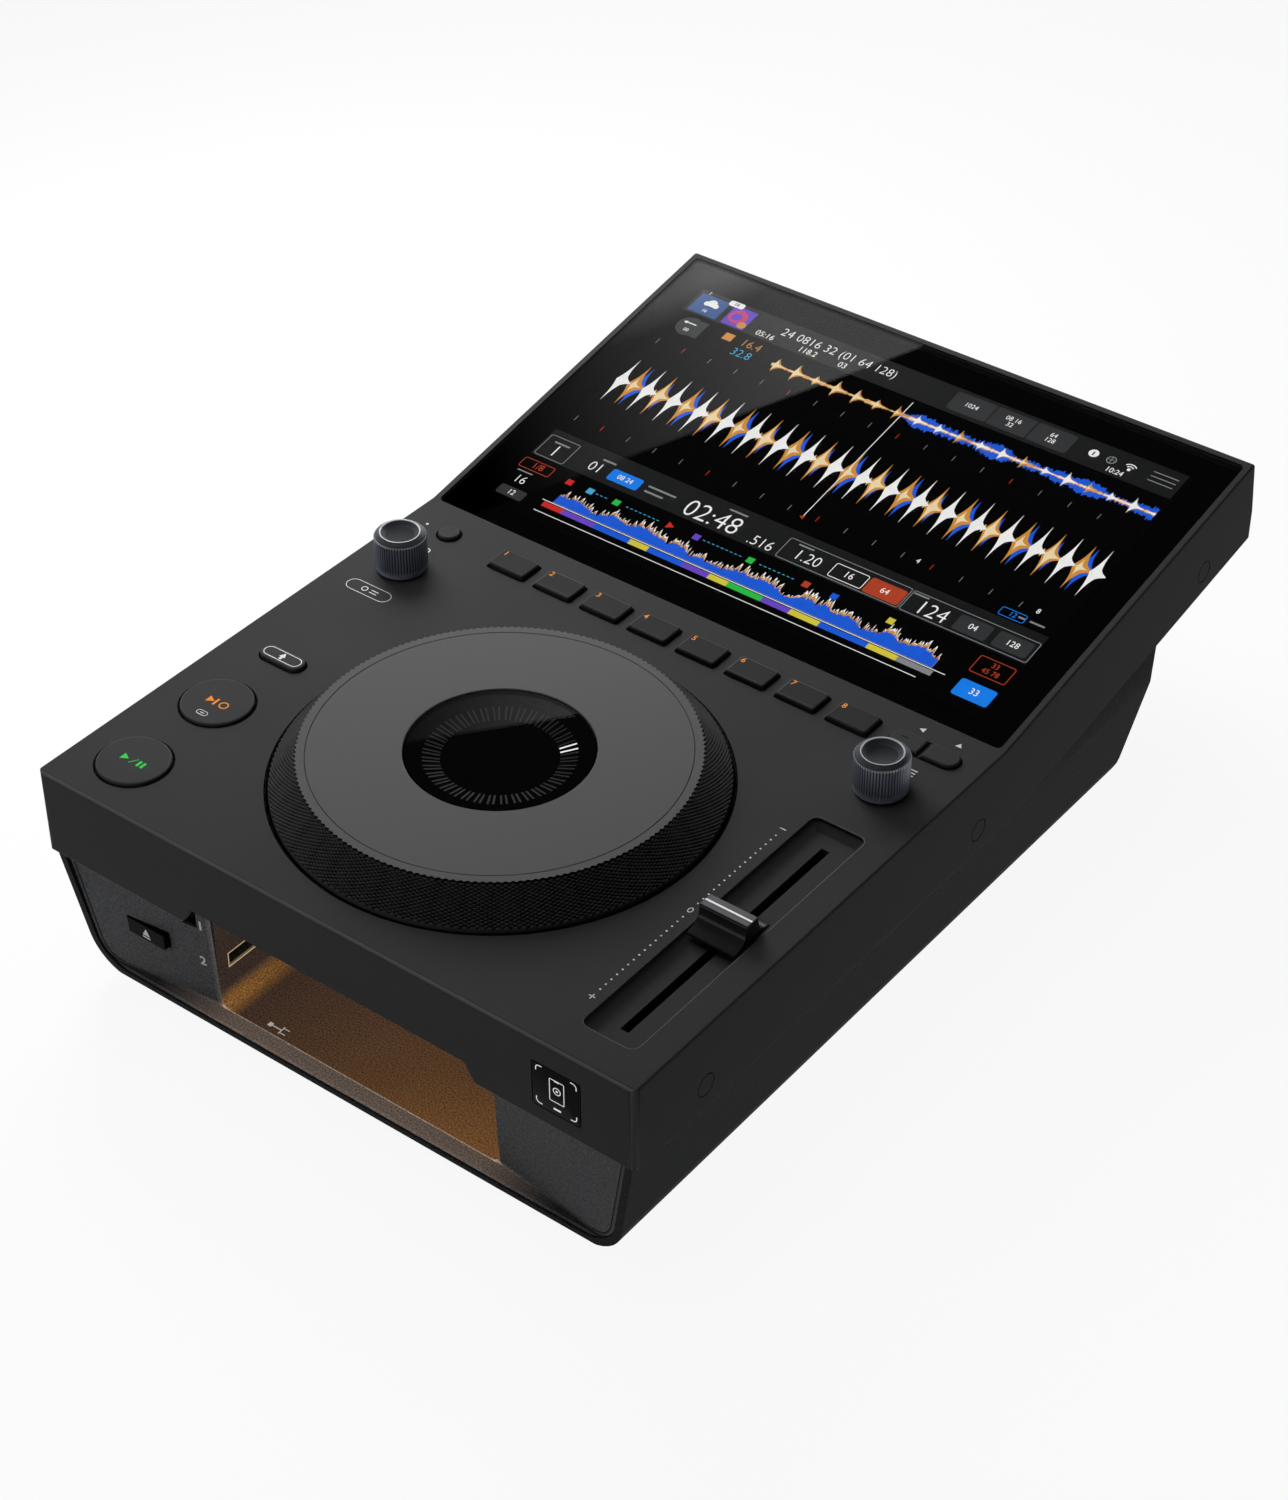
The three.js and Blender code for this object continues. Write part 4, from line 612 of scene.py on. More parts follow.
def light_case_edges(bm):
    """Painted highlights on the case's outer roundings and the trough's top edges, and painted
    shadow on the trough's front-facing walls.
    """
    for face in bm.faces:
        place = face.calc_center_median()
        outer = abs(place.x) > CASE_SIDE - 3.1 or place.y < FRONT_Y + 1.2
        slanted = sum(0.5 < abs(part) < 0.9 for part in face.normal) == 2
        # Painted highlight on the case's rounded outer edges and corners.
        if outer and slanted:
            face.material_index = 1
        # Painted shadow on the trough's walls that face the front.
        sunk = abs(place.x - FADER_X) < TROUGH_HALF_WIDTH and -1.7 < place.z - DECK_Z < -0.1
        if sunk and face.normal.y < -0.5:
            face.material_index = 2
    # The trough's top edges, weighted for a bevel that paints a highlight.
    weight = bm.edges.layers.float.new("bevel_weight_edge")
    for edge in bm.edges:
        if all(abs(vert.co.z - DECK_Z) < 0.02
               and abs(vert.co.x - FADER_X) < TROUGH_HALF_WIDTH
               and abs(vert.co.y - FRONT_Y - FADER_Y) < TROUGH_HALF_LENGTH
               for vert in edge.verts):
            edge[weight] = 1.0


# Case, tray and liner
# The case carries painted highlights on its edges and a painted shadow in the trough; the tray a
# painted highlight on its edges.
dress(
    "top_case", case_finish, edge=0.3, angle=38, rim=case_edge_highlight, paint_light_and_shade=light_case_edges,
    dark=trough_painted_shadow)
dress("bottom_tray", tray_finish, edge=0.2, rim=tray_edge_highlight)
# The liner carries painted bay light and painted highlights.
dress("bay_liner", liner_with_painted_light)
dress("screen_back_cover", case_finish, edge=0.6)
for side in ("left", "right"):
    for number in (1, 2, 3):
        dress(f"side_cap_{side}_{number}", case_finish, edge=0.2)
for number in (1, 2, 3, 4):
    dress(f"foot_{number}", rubber_finish, edge=0.3)

# Buttons and pads
# The buttons' and pads' rounded edges carry a painted highlight.
for node in ("play_button", "cue_button"):
    dress(node, button_finish, edge=0.4, rim=button_edge_highlight)
for node in ("shift_button", "delete_button", "back_button", "tag_button"):
    dress(node, button_finish, edge=0.35, rim=button_edge_highlight)
for number in PADS:
    dress(f"hot_cue_pad_{number}", pad_finish, edge=0.45, rim=button_edge_highlight)
dress("eject_button", black_finish, edge=0.3)
dress("power_button", black_finish, edge=0.3)

# Sockets, rear pieces and the works inside
for node in ("usb_socket_2", "loop_shaft", "browse_shaft", "fader_lever"):
    dress(node, plated_finish)
for node in ("display_bracket", "jog_encoder_disc", "loop_encoder", "browse_encoder",
             "fader_body", "power_supply"):
    dress(node, steel_finish)
dress("network_port", plated_finish, edge=0.2)
dress("audio_jacks", plated_finish)
# The first USB socket is made black: painted shade for its dark opening above the eject button.
dress("usb_socket_1", black_finish)
dress("mains_inlet", black_finish, edge=0.3)
dress("jog_bearing", bronze_finish)
for node in ("control_board", "main_board", "usb_board"):
    dress(node, board_finish)
for node in ("jog_base", "jog_rim", "jog_sensor"):
    dress(node, black_finish)
dress("display_panel", panel_black)
for node in ("display_glass", "jog_window"):
    dress(node, glass_finish)


# Jog wheel: knurled grip, scalloped plate, dished display with its marks
GRIP_COUNT = 180
GRIP_ROWS = 24


def add_grip():
    """The knurled band on the rim's slope: rows of small pyramids."""
    low, high = Vector((76.4, 0.8)), Vector((66.9, 11.6))
    skirt_low, skirt_wall = -0.5, 0.5
    outward = Vector((high.y - low.y, low.x - high.x)).normalized()
    sunk, depth, valley = 0.6, 0.72, -0.25
    slope = [low.lerp(high, row / GRIP_ROWS) for row in range(GRIP_ROWS + 1)]
    inner = [point - outward * sunk for point in (slope[-1], slope[0])]
    skirt = [(low.x + 0.1 - skirt_wall, skirt_low), (low.x + 0.1, skirt_low), (low.x + 0.1, 0.4)]
    bm = lathe([tuple(point) for point in slope + inner] + skirt, 2 * GRIP_COUNT)
    step = math.pi / GRIP_COUNT
    low_verts = []
    for vert in bm.verts:
        flat = vert.co.xy.length
        row = (vert.co.z - low.y) / (high.y - low.y) * GRIP_ROWS
        on_slope = abs(flat - (low.x + (high.x - low.x) * row / GRIP_ROWS)) < 0.05
        if not on_slope or not 0.5 < row < GRIP_ROWS - 0.5:
            continue
        column = round(math.atan2(vert.co.y, vert.co.x) / step)
        lift = depth if (column + round(row)) % 2 == 0 else valley
        if lift < 0:
            low_verts.append(vert)
        across = Vector((vert.co.x, vert.co.y, 0)).normalized() * outward.x
        vert.co += (across + Vector((0, 0, outward.y))) * lift
    bmesh.ops.connect_verts(bm, verts=low_verts)
    bmesh.ops.translate(bm, vec=(0, JOG_Y, 0), verts=bm.verts)
    make_piece("jog_grip", bm, deck, grip_finish, "jog_wheel", angle=20)


def add_plate():
    """The top plate: a thin groove near its edge, and a scalloped edge; the groove and the edge's
    side faces are painted black as shade.
    """
    groove, wide, edge = 63.8, 0.19, 67.4
    profile = [
        (32.0, 10.9), (65.9, 10.9), (66.3, 11.3), (66.4, 11.8), (edge - 0.1, 11.9), (edge, 12.4),
        (edge - 0.1, 12.5), (groove + wide, 12.5), (groove, 12.2), (groove - wide, 12.5),
        (32.3, 12.5), (32.0, 12.2)]
    bm = lathe(profile, 4 * GRIP_COUNT)
    for vert in bm.verts:
        reach = vert.co.xy.length
        if reach < 66.6:
            continue
        turn = math.atan2(vert.co.y, vert.co.x) * GRIP_COUNT
        pull = 1 - 0.011 * (0.5 - 0.5 * math.cos(turn))
        vert.co.x *= pull
        vert.co.y *= pull
    # Painted shade: black in the groove and on the steep faces at the plate's edge.
    for face in bm.faces:
        reach = face.calc_center_median().xy.length
        in_painted_groove_shade = abs(reach - groove) < wide and face.normal.z > 0.1
        face.material_index = int(in_painted_groove_shade or reach > 66.2 and face.normal.z < 0.5)
    bmesh.ops.translate(bm, vec=(0, JOG_Y, 0), verts=bm.verts)
    plate = make_piece(
        "jog_plate_finish", bm, deck, [plate_finish, black_finish], "jog_wheel")
    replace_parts(plate, "jog_plate")


MARK_INNER, MARK_OUTER, MARK_LOW, MARK_SLOPE = 19.8, 25.7, 7.87, 0.193


def add_jog_dish():
    """The round display: a shallow black dish, and the black border under the window's edge."""
    low = MARK_LOW - 0.02
    high = low + (26.2 - MARK_INNER) * MARK_SLOPE
    dish = lathe([
        (0, 7.55), (28.4, 7.55), (28.4, 9.9), (27.6, 9.9), (26.2, high), (MARK_INNER, low),
        (19.2, low - 0.1), (0, low - 0.1)], 96, y=JOG_Y)
    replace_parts(make_piece("jog_dish", dish, deck, dull_black), "jog_display")
    border = bmesh.new()
    add_ring(border, 31.3, 28.3, 0, JOG_Y, 10.4, 0.05, steps=96)
    make_piece("jog_window_border", border, deck, dull_black, "jog_wheel")


def add_jog_marks():
    """Ring of marks on the dish's slope, in pairs; one pair is lit."""
    pairs, lit_pair = 36, 4
    for name, chosen, material in (
            ("jog_marks", False, dim_light), ("jog_marks_lit", True, white_light)):
        bm = bmesh.new()
        for pair in range(pairs):
            if (pair == lit_pair) != chosen:
                continue
            for side in (-2.9, 2.9):
                turn = math.radians(7.4 + pair * 360 / pairs + side)
                mark = bmesh.new()
                add_slab(mark, MARK_INNER, -0.32, MARK_OUTER, 0.32, MARK_LOW, 0.08)
                for vert in mark.verts:
                    vert.co.z += (vert.co.x - MARK_INNER) * MARK_SLOPE
                bmesh.ops.rotate(
                    mark, cent=(0, 0, 0), matrix=Matrix.Rotation(turn, 3, "Z"), verts=mark.verts)
                join_shape(bm, mark)
        bmesh.ops.translate(bm, vec=(0, JOG_Y, 0), verts=bm.verts)
        make_piece(name, bm, deck, material)


add_grip()
add_plate()
add_jog_dish()
add_jog_marks()


# Knobs
def add_knob(node, x):
    """A metal knob: fluted side with a bead at the top of each of its flutes, bevel, bright ring,
    dark dish; the hollows between the flutes carry painted shade, the beads painted highlights, and
    the ring's pale colour is partly a painted highlight.
    """
    flutes, bottom, top, side_radius = 56, 0.9, 15.9, 9.3
    flute_low, flute_high, bevel_low = 2.2, 14.1, 14.5
    ring_outer, ring_inner, dish, dish_radius = 7.4, 7.0, 14.3, 5.2
    profile = [
        (0, bottom), (9.1, bottom), (side_radius, bottom + 0.3), (side_radius, flute_low - 0.5),
        (9.25, flute_low), (9.25, flute_low + 1.2), (9.2, flute_high - 0.4), (9.15, flute_high),
        (9.15, bevel_low), (9.0, 14.8), (8.4, 15.3), (ring_outer + 0.15, 15.7),
        (ring_outer, top), (ring_inner, top), (ring_inner - 0.15, 15.7), (dish_radius + 0.2, dish),
        (dish_radius, dish - 0.1), (0, dish - 0.1)]
    bm = lathe(profile, 4 * flutes)
    for vert in bm.verts:
        if flute_low + 0.6 < vert.co.z < flute_high - 0.2 and vert.co.xy.length > 8:
            turn = math.atan2(vert.co.y, vert.co.x) * flutes
            push = 1 + 0.035 * math.cos(turn)
            vert.co.x *= push
            vert.co.y *= push
    for face in bm.faces:
        middle = face.calc_center_median()
        reach = middle.xy.length
        if middle.z > bevel_low and reach > ring_outer:
            face.material_index = 1
        elif middle.z > top - 0.2 and reach > ring_inner - 0.1:
            face.material_index = 2
        elif middle.z > dish - 0.2 and reach < ring_inner:
            face.material_index = 3 if reach < dish_radius else 1
        # Painted shade in the hollows between the flutes.
        elif reach > 8 and flute_low + 0.6 < middle.z < flute_high:
            hollow = math.cos(math.atan2(middle.y, middle.x) * flutes) < 0
            face.material_index = 4 if hollow else 0
    bmesh.ops.translate(bm, vec=(x, KNOB_Y, 0), verts=bm.verts)
    axis = (x * MM, (FRONT_Y + KNOB_Y) * MM, 0)
    side = moulded(node + "_side", shade(146, 152, 166), 0.4, 0.06, 0.42, 0.003, Metallic=0.4)
    flute_painted_shade = moulded(node + "_flute_painted_shade", shade(84, 89, 99), 0.4, 0.06, 0.5, 0.003, Metallic=0.4)
    slope = turned(node + "_bevel", shade(84, 87, 91), axis, 0.2, 0.1, 0.4, Metallic=0.6)
    # The ring is polished metal; its pale colour also paints its highlight.
    ring = turned(node + "_ring", shade(214, 217, 222), axis, 0.2, 0.1, 0.3, Metallic=0.4)
    floor = turned(node + "_dish", shade(38, 39, 41), axis, 0.15, 0.1, 0.5, Metallic=0.2)
    knob = make_piece(
        node + "_finish", bm, deck, [side, slope, ring, floor, flute_painted_shade], node)
    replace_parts(knob, node)
    # Beads at the tops of the flutes, in the ring's pale colour as painted highlights.
    beads = bmesh.new()
    for bead in range(flutes):
        turn = 2 * math.pi * bead / flutes
        spot = Matrix.Translation((
            x + side_radius * math.cos(turn), KNOB_Y + side_radius * math.sin(turn),
            flute_high))
        bmesh.ops.create_icosphere(beads, subdivisions=1, radius=0.3, matrix=spot)
    make_piece(node + "_beads", beads, deck, ring, node, angle=80)


add_knob("loop_knob", LOOP_X)
add_knob("browse_knob", BROWSE_X)

# Tempo fader
dress("fader_cap", cap_finish, edge=0.35)
cap_top = deck_spot(FADER_X, FADER_Y, 7.38)
add_marks(
    "fader_line", cap_top, white_ink, "black_plastic", "tempo_fader",
    (add_slab, -9.0, -0.45, 9.0, 0.45, 0, 0.05))
add_marks(
    "fader_bands", cap_top, cap_band_finish, "black_plastic", "tempo_fader",
    (add_slab, -9.0, -2.7, 9.0, -0.7), (add_slab, -9.0, 0.7, 9.0, 2.7))


# Marks printed on the deck and its buttons
def add_deck_marks():
    """The fader's scale, and the signs by the knobs and the pair of buttons."""
    bm = bmesh.new()
    for end in (-1, 1):
        y = SCALE_Y + end * SCALE_REACH
        add_slab(bm, SCALE_X - 1.2, y - 0.17, SCALE_X + 1.2, y + 0.17)
        for dot in range(16):
            add_polygon(bm, 8, 0.34, SCALE_X, SCALE_Y + end * (3.97 + 2.79 * dot))
    plus_y = SCALE_Y - SCALE_REACH
    add_slab(bm, SCALE_X - 0.17, plus_y - 1.2, SCALE_X + 0.17, plus_y + 1.2)
    zero = bmesh.new()
    add_ring(zero, 1.25, 0.9, 0, 0)
    bmesh.ops.scale(zero, vec=(0.72, 1, 1), verts=zero.verts)
    bmesh.ops.translate(zero, vec=(SCALE_X, SCALE_Y, 0), verts=zero.verts)
    join_shape(bm, zero)
    pill_x, pill_y = -104.8, 143.2
    add_pill(bm, 19.5, 6.2, 0.24, pill_x, pill_y)
    add_ring(bm, 1.3, 0.95, pill_x - 1.8, pill_y)
    for y in (pill_y - 0.7, pill_y + 0.7):
        add_slab(bm, pill_x + 0.8, y - 0.2, pill_x + 4.0, y + 0.2)
    add_ring(bm, 1.5, 1.15, LOOP_X, KNOB_Y + 13.4)
    for y in (KNOB_Y + 11.6, KNOB_Y + 13.1, KNOB_Y + 14.6):
        add_slab(bm, BROWSE_X + 0.6, y - 0.2, BROWSE_X + 4.8, y + 0.2)
    pair_x, pair_y = PAIR
    for x, turn in ((pair_x - 6.7, math.pi / 2), (pair_x + 7.7, 0.0)):
        add_polygon(bm, 3, 1.4, x, pair_y + 9.1, turn=turn)
    make_piece("deck_marks", bm, deck, grey_ink)


def add_gap_rims():
    """Painted shade round the openings that the jog wheel, the buttons and the pads stand in: thin
    dark rings and outlines on the deck where the gaps fall in shade.
    """
    bm = bmesh.new()
    thin = 0.02
    add_ring(bm, 78.0, 77.5, 0, JOG_Y, 0, thin, steps=144)
    for button in (PLAY, CUE):
        add_ring(bm, 13.6, 13.2, *button, 0, thin, steps=64)
    add_ring(bm, 4.9, 4.5, *DELETE, 0, thin)
    add_pill(bm, 19.8, 8.6, 0.4, *SHIFT, 0, thin)
    add_pill(bm, 28.0, 9.6, 0.4, *PAIR, 0, thin)
    for pad in PADS.values():
        add_pill(bm, 17.3, 11.7, 0.35, *pad, 0, thin, corner=1.3)
    make_piece("painted_gap_shade", bm, deck, dull_black)


def add_button_marks():
    """The signs on the buttons, the numbers on the pads, and the lamp by the delete button."""
    slot = "button_plastic"
    left = -math.pi / 2
    add_marks(
        "play_mark", deck_spot(*PLAY, 1.2), green_light, slot, "play_button",
        (add_polygon, 3, 1.85, -3.6, -0.6, 0, INK, left),
        (add_slab, -1.3, -0.75, 2.3, -0.5, 0, INK, math.radians(58)),
        (add_slab, 2.52, -2.0, 3.48, 0.8), (add_slab, 4.32, -2.0, 5.28, 0.8))
    add_marks(
        "cue_mark", deck_spot(*CUE, 1.2), orange_light, slot, "cue_button",
        (add_polygon, 3, 1.9, -2.6, -0.6, 0, INK, left), (add_slab, -0.4, -2.4, 0.4, 1.2),
        (add_ring, 1.8, 1.3, 3.6, -0.6))
    add_marks(
        "cue_pill", deck_spot(*CUE, 1.2), grey_ink, slot, "cue_button",
        (add_pill, 4.6, 2.4, 0.25, 0.4, -7.8), (add_slab, -0.6, -8.0, 1.4, -7.7))
    add_marks(
        "shift_mark", deck_spot(*SHIFT, 1.6), grey_ink, slot, "shift_button",
        (add_pill, 16.2, 5.0, 0.3, 0, 0), (add_polygon, 3, 1.5, 0, 0.4),
        (add_slab, -0.55, -1.7, 0.55, -0.3))
    add_marks(
        "back_mark", deck_spot(*PAIR, 1.5), black_finish, slot, "back_button",
        (add_slab, -9.8, 0.5, -7.0, 0.9))
    for number, pad in PADS.items():
        add_marks(
            f"pad_number_{number}", deck_spot(*pad, 2.0), orange_light, slot,
            f"hot_cue_pad_{number}", (add_figures, str(number), 2.5, -5.7, 2.7, 0, 1, 0.02))
    add_marks(
        "delete_lamp", deck_spot(*DELETE, 0), grey_ink, "case_plastic", "chassis",
        (add_polygon, 16, 0.55, -10.9, 0.5))


add_deck_marks()
add_gap_rims()
add_button_marks()

# Front: eject symbol, port numbers, painted glint on a socket's lip, plug symbol in painted light,
# wing seams with painted shade and highlight, touch window
add_marks(
    "eject_mark", upright((-88.6, -177.9, 29.7), (0, -1, 0)), white_ink, "black_plastic",
    "eject_button", (add_polygon, 3, 2.0, 0, 0), (add_slab, -1.8, -2.1, 1.8, -1.5))
add_marks(
    "port_numbers", wing_face(-1), white_ink, "tray_plastic", "chassis",
    (add_figures, "1", 3.8, 23.4, 13.4, 0, 1, 0.2),
    (add_figures, "2", 3.8, 22.4, -3.2, 0, 1, 0.16))


def add_wing_seams():
    """The seam near each wing's outer edge: a dark line of painted shade for its groove, with a
    line of painted highlight outside it.
    """
    top, low, corner, end = [
        Vector(point) for point in ((29.4, 23.4), (22.3, -12.4), (20.7, -20.6), (13.6, -20.6))]
    steps = 10
    path = [top]
    for step in range(steps + 1):
        share = step / steps
        path.append(low.lerp(corner, share).lerp(corner.lerp(end, share), share))
    for side, name in ((-1, "left"), (1, "right")):
        for shift, width, finish, label in (
                (0.0, 0.5, black_finish, "seam"), (0.42, 0.2, case_edge_highlight, "seam_painted_highlight")):
            points = [(side * (p.x + shift), p.y - shift) for p in path]
            add_marks(
                f"wing_{label}_{name}", wing_face(side), finish, "tray_plastic", "chassis",
                (add_ribbon, points, width, 0))


def add_touch_window():
    """The black window for a phone, with its corner brackets and a phone's outline."""
    level, thin = -0.06, 0.04
    face = upright((94.9, FRONT_Y, 68.9), (0, -1, 0))
    pane = rounded_block(18.6, 17.9, -1.2, level, 0.8, edge=0.2)
    window = make_piece("touch_window_finish", pane, face, gloss_black)
    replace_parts(window, "touch_window")
    reach, arm, bend = 7.8, 2.3, 1.3
    turns = [math.radians(step * 18) for step in range(6)]
    corner = [(0, arm)]
    corner += [(bend * (1 - math.cos(turn)), bend * (1 - math.sin(turn))) for turn in turns]
    corner += [(arm, 0)]
    marks = bmesh.new()
    for side_x in (-1, 1):
        for side_y in (-1, 1):
            bracket = bmesh.new()
            add_ribbon(bracket, [
                (side_x * (reach - x), 0.2 + side_y * (reach - y)) for x, y in corner], 0.34, level)
            join_shape(marks, bracket)
    add_pill(marks, 5.8, 9.2, 0.26, 0.2, 0.7, level, thin, corner=0.5)
    add_slab(marks, -0.7, 4.7, 1.1, 5.0, level, thin)
    add_ring(marks, 1.5, 1.2, 0.25, 0.95, level, thin)
    add_polygon(marks, 12, 0.45, 0.25, 0.95, level, thin)
    add_slab(marks, -1.1, -7.1, 1.7, -6.4, level, thin)
    make_piece("touch_marks", marks, face, lit("touch_light", shade(214, 215, 216)))


add_wing_seams()
# A frame of painted glint on the edge of the second USB socket, as if it caught the bay's light.
add_marks(
    "usb_socket_lip_painted_glint", upright((-BAY_SIDE, -160.98, 25.6), (1, 0, 0)), lip_painted_glint, "plated_metal",
    "chassis", (add_frame, -6.8, -3.1, 6.8, 3.1, 0.3, -0.2, 0.3))
# The plug symbol is print on the bay's floor; its glow is painted bay light.
add_marks(
    "plug_symbol", to_metres @ Matrix.Translation((-38.5, -169.0, BAY_FLOOR)), symbol_painted_light,
    "tray_plastic", "chassis",
    (add_slab, -2.8, -0.2, 1.6, 0.2), (add_slab, -4.4, -0.9, -2.8, 0.9),
    (add_slab, 1.6, -1.38, 4.0, -1.02), (add_slab, 1.6, 1.02, 4.0, 1.38),
    (add_slab, 1.2, -1.8, 1.6, 1.8))
add_touch_window()


# Picture on the screen: u to the right and v up, in millimetres from its lower left corner
LAYER = 0.05
picture_face = screen @ Matrix.Translation((-109.9, 10.0, -1.79))
SCREEN_COLOURS = {
    "white": (244, 244, 242), "cream": (240, 218, 172), "orange": (206, 142, 56),
    "deep_orange": (176, 64, 36), "blue": (24, 90, 216), "deep_blue": (54, 88, 146),
    "violet": (104, 70, 196), "red": (204, 40, 40), "green": (40, 190, 70),
    "yellow": (214, 200, 62), "cyan": (72, 170, 214), "slate": (20, 21, 21),
    "button": (50, 51, 53), "grey": (132, 134, 137), "pink": (206, 62, 112),
    "sky": (22, 126, 236),
}
picture = {name: bmesh.new() for name in SCREEN_COLOURS}


def paint_bar(colour, layer, u0, v0, u1, v1):
    add_slab(picture[colour], u0, v0, u1, v1, layer * LAYER)


def paint_box(colour, layer, u0, v0, u1, v1):
    """The outline of a box with rounded corners."""
    add_pill(
        picture[colour], u1 - u0, v1 - v0, 0.28, (u0 + u1) / 2, (v0 + v1) / 2, layer * LAYER,
        corner=0.9)


def paint_button(colour, layer, u0, v0, u1, v1):
    bottom = layer * LAYER
    join_shape(picture[colour], rounded_block(
        u1 - u0, v1 - v0, bottom, bottom + INK, 1.0, x=(u0 + u1) / 2, y=(v0 + v1) / 2,
        segments=4))


def paint_figures(colour, layer, text, height, u, v):
    add_figures(
        picture[colour], text, height, u, v, layer * LAYER, narrow=0.9,
        bold=-0.018 * height if height > 3.4 else 0.0)


def paint_dot(colour, layer, u, v, radius, sides=16, turn=0.0):
    add_polygon(picture[colour], sides, radius, u, v, layer * LAYER, turn=turn)


def paint_arc(colour, layer, u, v, radius):
    """An arc over a dot, as in the sign of a wireless link."""
    turns = [math.radians(-48 + 16 * step) for step in range(7)]
    arc = bmesh.new()
    add_ribbon(
        arc, [(u + radius * math.sin(turn), v + radius * math.cos(turn)) for turn in turns], 0.45,
        layer * LAYER)
    join_shape(picture[colour], arc)


def paint_wave(colour, layer, u0, u1, base, rise, fall, step, seed, rough):
    """A loudness curve: a flat band whose edges jump about."""
    bm = bmesh.new()
    bmesh.ops.create_grid(bm, x_segments=round((u1 - u0) / step), y_segments=1, size=0.5)
    for vert in bm.verts:
        u = u0 + (vert.co.x + 0.5) * (u1 - u0)
        broad = noise.noise(Vector((u * 0.11, seed, 0.3)))
        quick = noise.noise(Vector((u * 1.6, seed, 7.7)))
        height = max(0.12, 0.62 + 0.5 * broad + rough * quick)
        v = base + rise * height if vert.co.y > 0 else base - fall * height
        vert.co = (u, v, layer * LAYER)
    thicken(bm, bm.faces[:])
    join_shape(picture[colour], bm)


def paint_spike(colour, layer, u, v, tall, left, right, tail):
    """A tall spike, straight on its left and hollow on its right, with a tail along the middle."""
    bm = bmesh.new()
    bmesh.ops.create_grid(bm, x_segments=1, y_segments=20, size=1)
    for vert in bm.verts:
        far = abs(vert.co.y)
        slim = max(0.0, 1 - far)
        if vert.co.x < 0:
            reach = -left * (0.3 * slim + 0.7 * slim ** 3)
        else:
            reach = right * (0.25 * slim + 0.75 * slim ** 3) + tail * max(0.0, 1 - far * 7)
        vert.co = (
            u + reach + math.copysign(0.03, vert.co.x), v + vert.co.y * tall, layer * LAYER)
    thicken(bm, bm.faces[:])
    join_shape(picture[colour], bm)


PICTURE_BARS = (
    ("slate", 0, 0, 124.2, 217.6, 138), ("deep_blue", 1, 2, 125, 15.4, 136),
    ("violet", 1, 18, 125, 28.5, 136), ("orange", 1, 24.2, 117.2, 28.4, 121.2),
    ("white", 3, 7.6, 130.4, 11.6, 132), ("slate", 0, 0, 28.5, 217.8, 43.8),
    ("grey", 1, 50.6, 35.4, 63, 36.3), ("grey", 1, 50.6, 32.6, 59, 33.5),
    ("grey", 1, 27, 38.6, 33, 39.5), ("grey", 1, 84, 40.4, 92, 41.2),
    ("grey", 1, 5, 37.4, 12, 38.2), ("grey", 2, 165.8, 38.2, 172, 38.9),
    ("grey", 2, 116.5, 38.0, 123, 38.7), ("grey", 1, 2, 18.6, 9, 19.2),
    ("grey", 1, 203.4, 46.5, 206, 47.3), ("grey", 2, 208, 46.5, 214, 47.3),
    ("white", 3, 20.6, 10.3, 197, 10.6), ("white", 3, 21, 4.3, 189, 4.6),
    ("white", 3, 109.05, 51.4, 109.35, 122.4),
    ("grey", 1, 205.4, 129.0, 215.6, 129.4), ("grey", 1, 205.4, 131.4, 215.6, 131.8),
    ("grey", 1, 205.4, 133.8, 215.6, 134.2), ("button", 2, 9.1, 112.0, 15.5, 121.6),
    ("white", 3, 7.0, 118.3, 11.4, 118.8), ("slate", 2, 181.3, 130.4, 181.9, 132.4),
    ("grey", 3, 187.2, 131.45, 190.8, 131.75),
    ("grey", 3, 188.85, 129.8, 189.15, 133.4),
)
PICTURE_BUTTONS = (
    ("button", 1, 120.6, 126, 137.8, 136.3), ("button", 1, 138.4, 126, 155.1, 136.3),
    ("button", 1, 155.7, 126, 172.5, 136.3), ("white", 2, 14.6, 134.9, 21.4, 137.9),
    ("button", 1, 2, 5, 14, 10), ("sky", 1, 33.8, 31.2, 47.7, 37.3),
    ("deep_orange", 2, 148.9, 29.9, 163.9, 37.8), ("button", 2, 186, 30.5, 199.5, 38.3),
    ("button", 2, 202, 30.5, 216, 38.3), ("sky", 1, 202.9, 4.4, 217.3, 12.6),
)
PICTURE_BOXES = (
    ("grey", 2, 1.5, 28.9, 15.2, 40.8), ("deep_orange", 1, 0.6, 20.6, 14.8, 26),
    ("grey", 2, 112, 29.1, 164.6, 40), ("white", 2, 133.8, 30.3, 148.1, 37.5),
    ("grey", 2, 165.2, 29.1, 217.6, 39.8), ("deep_orange", 2, 202.5, 16.4, 217, 25),
    ("sky", 1, 196, 44.6, 206.4, 48.8),
)
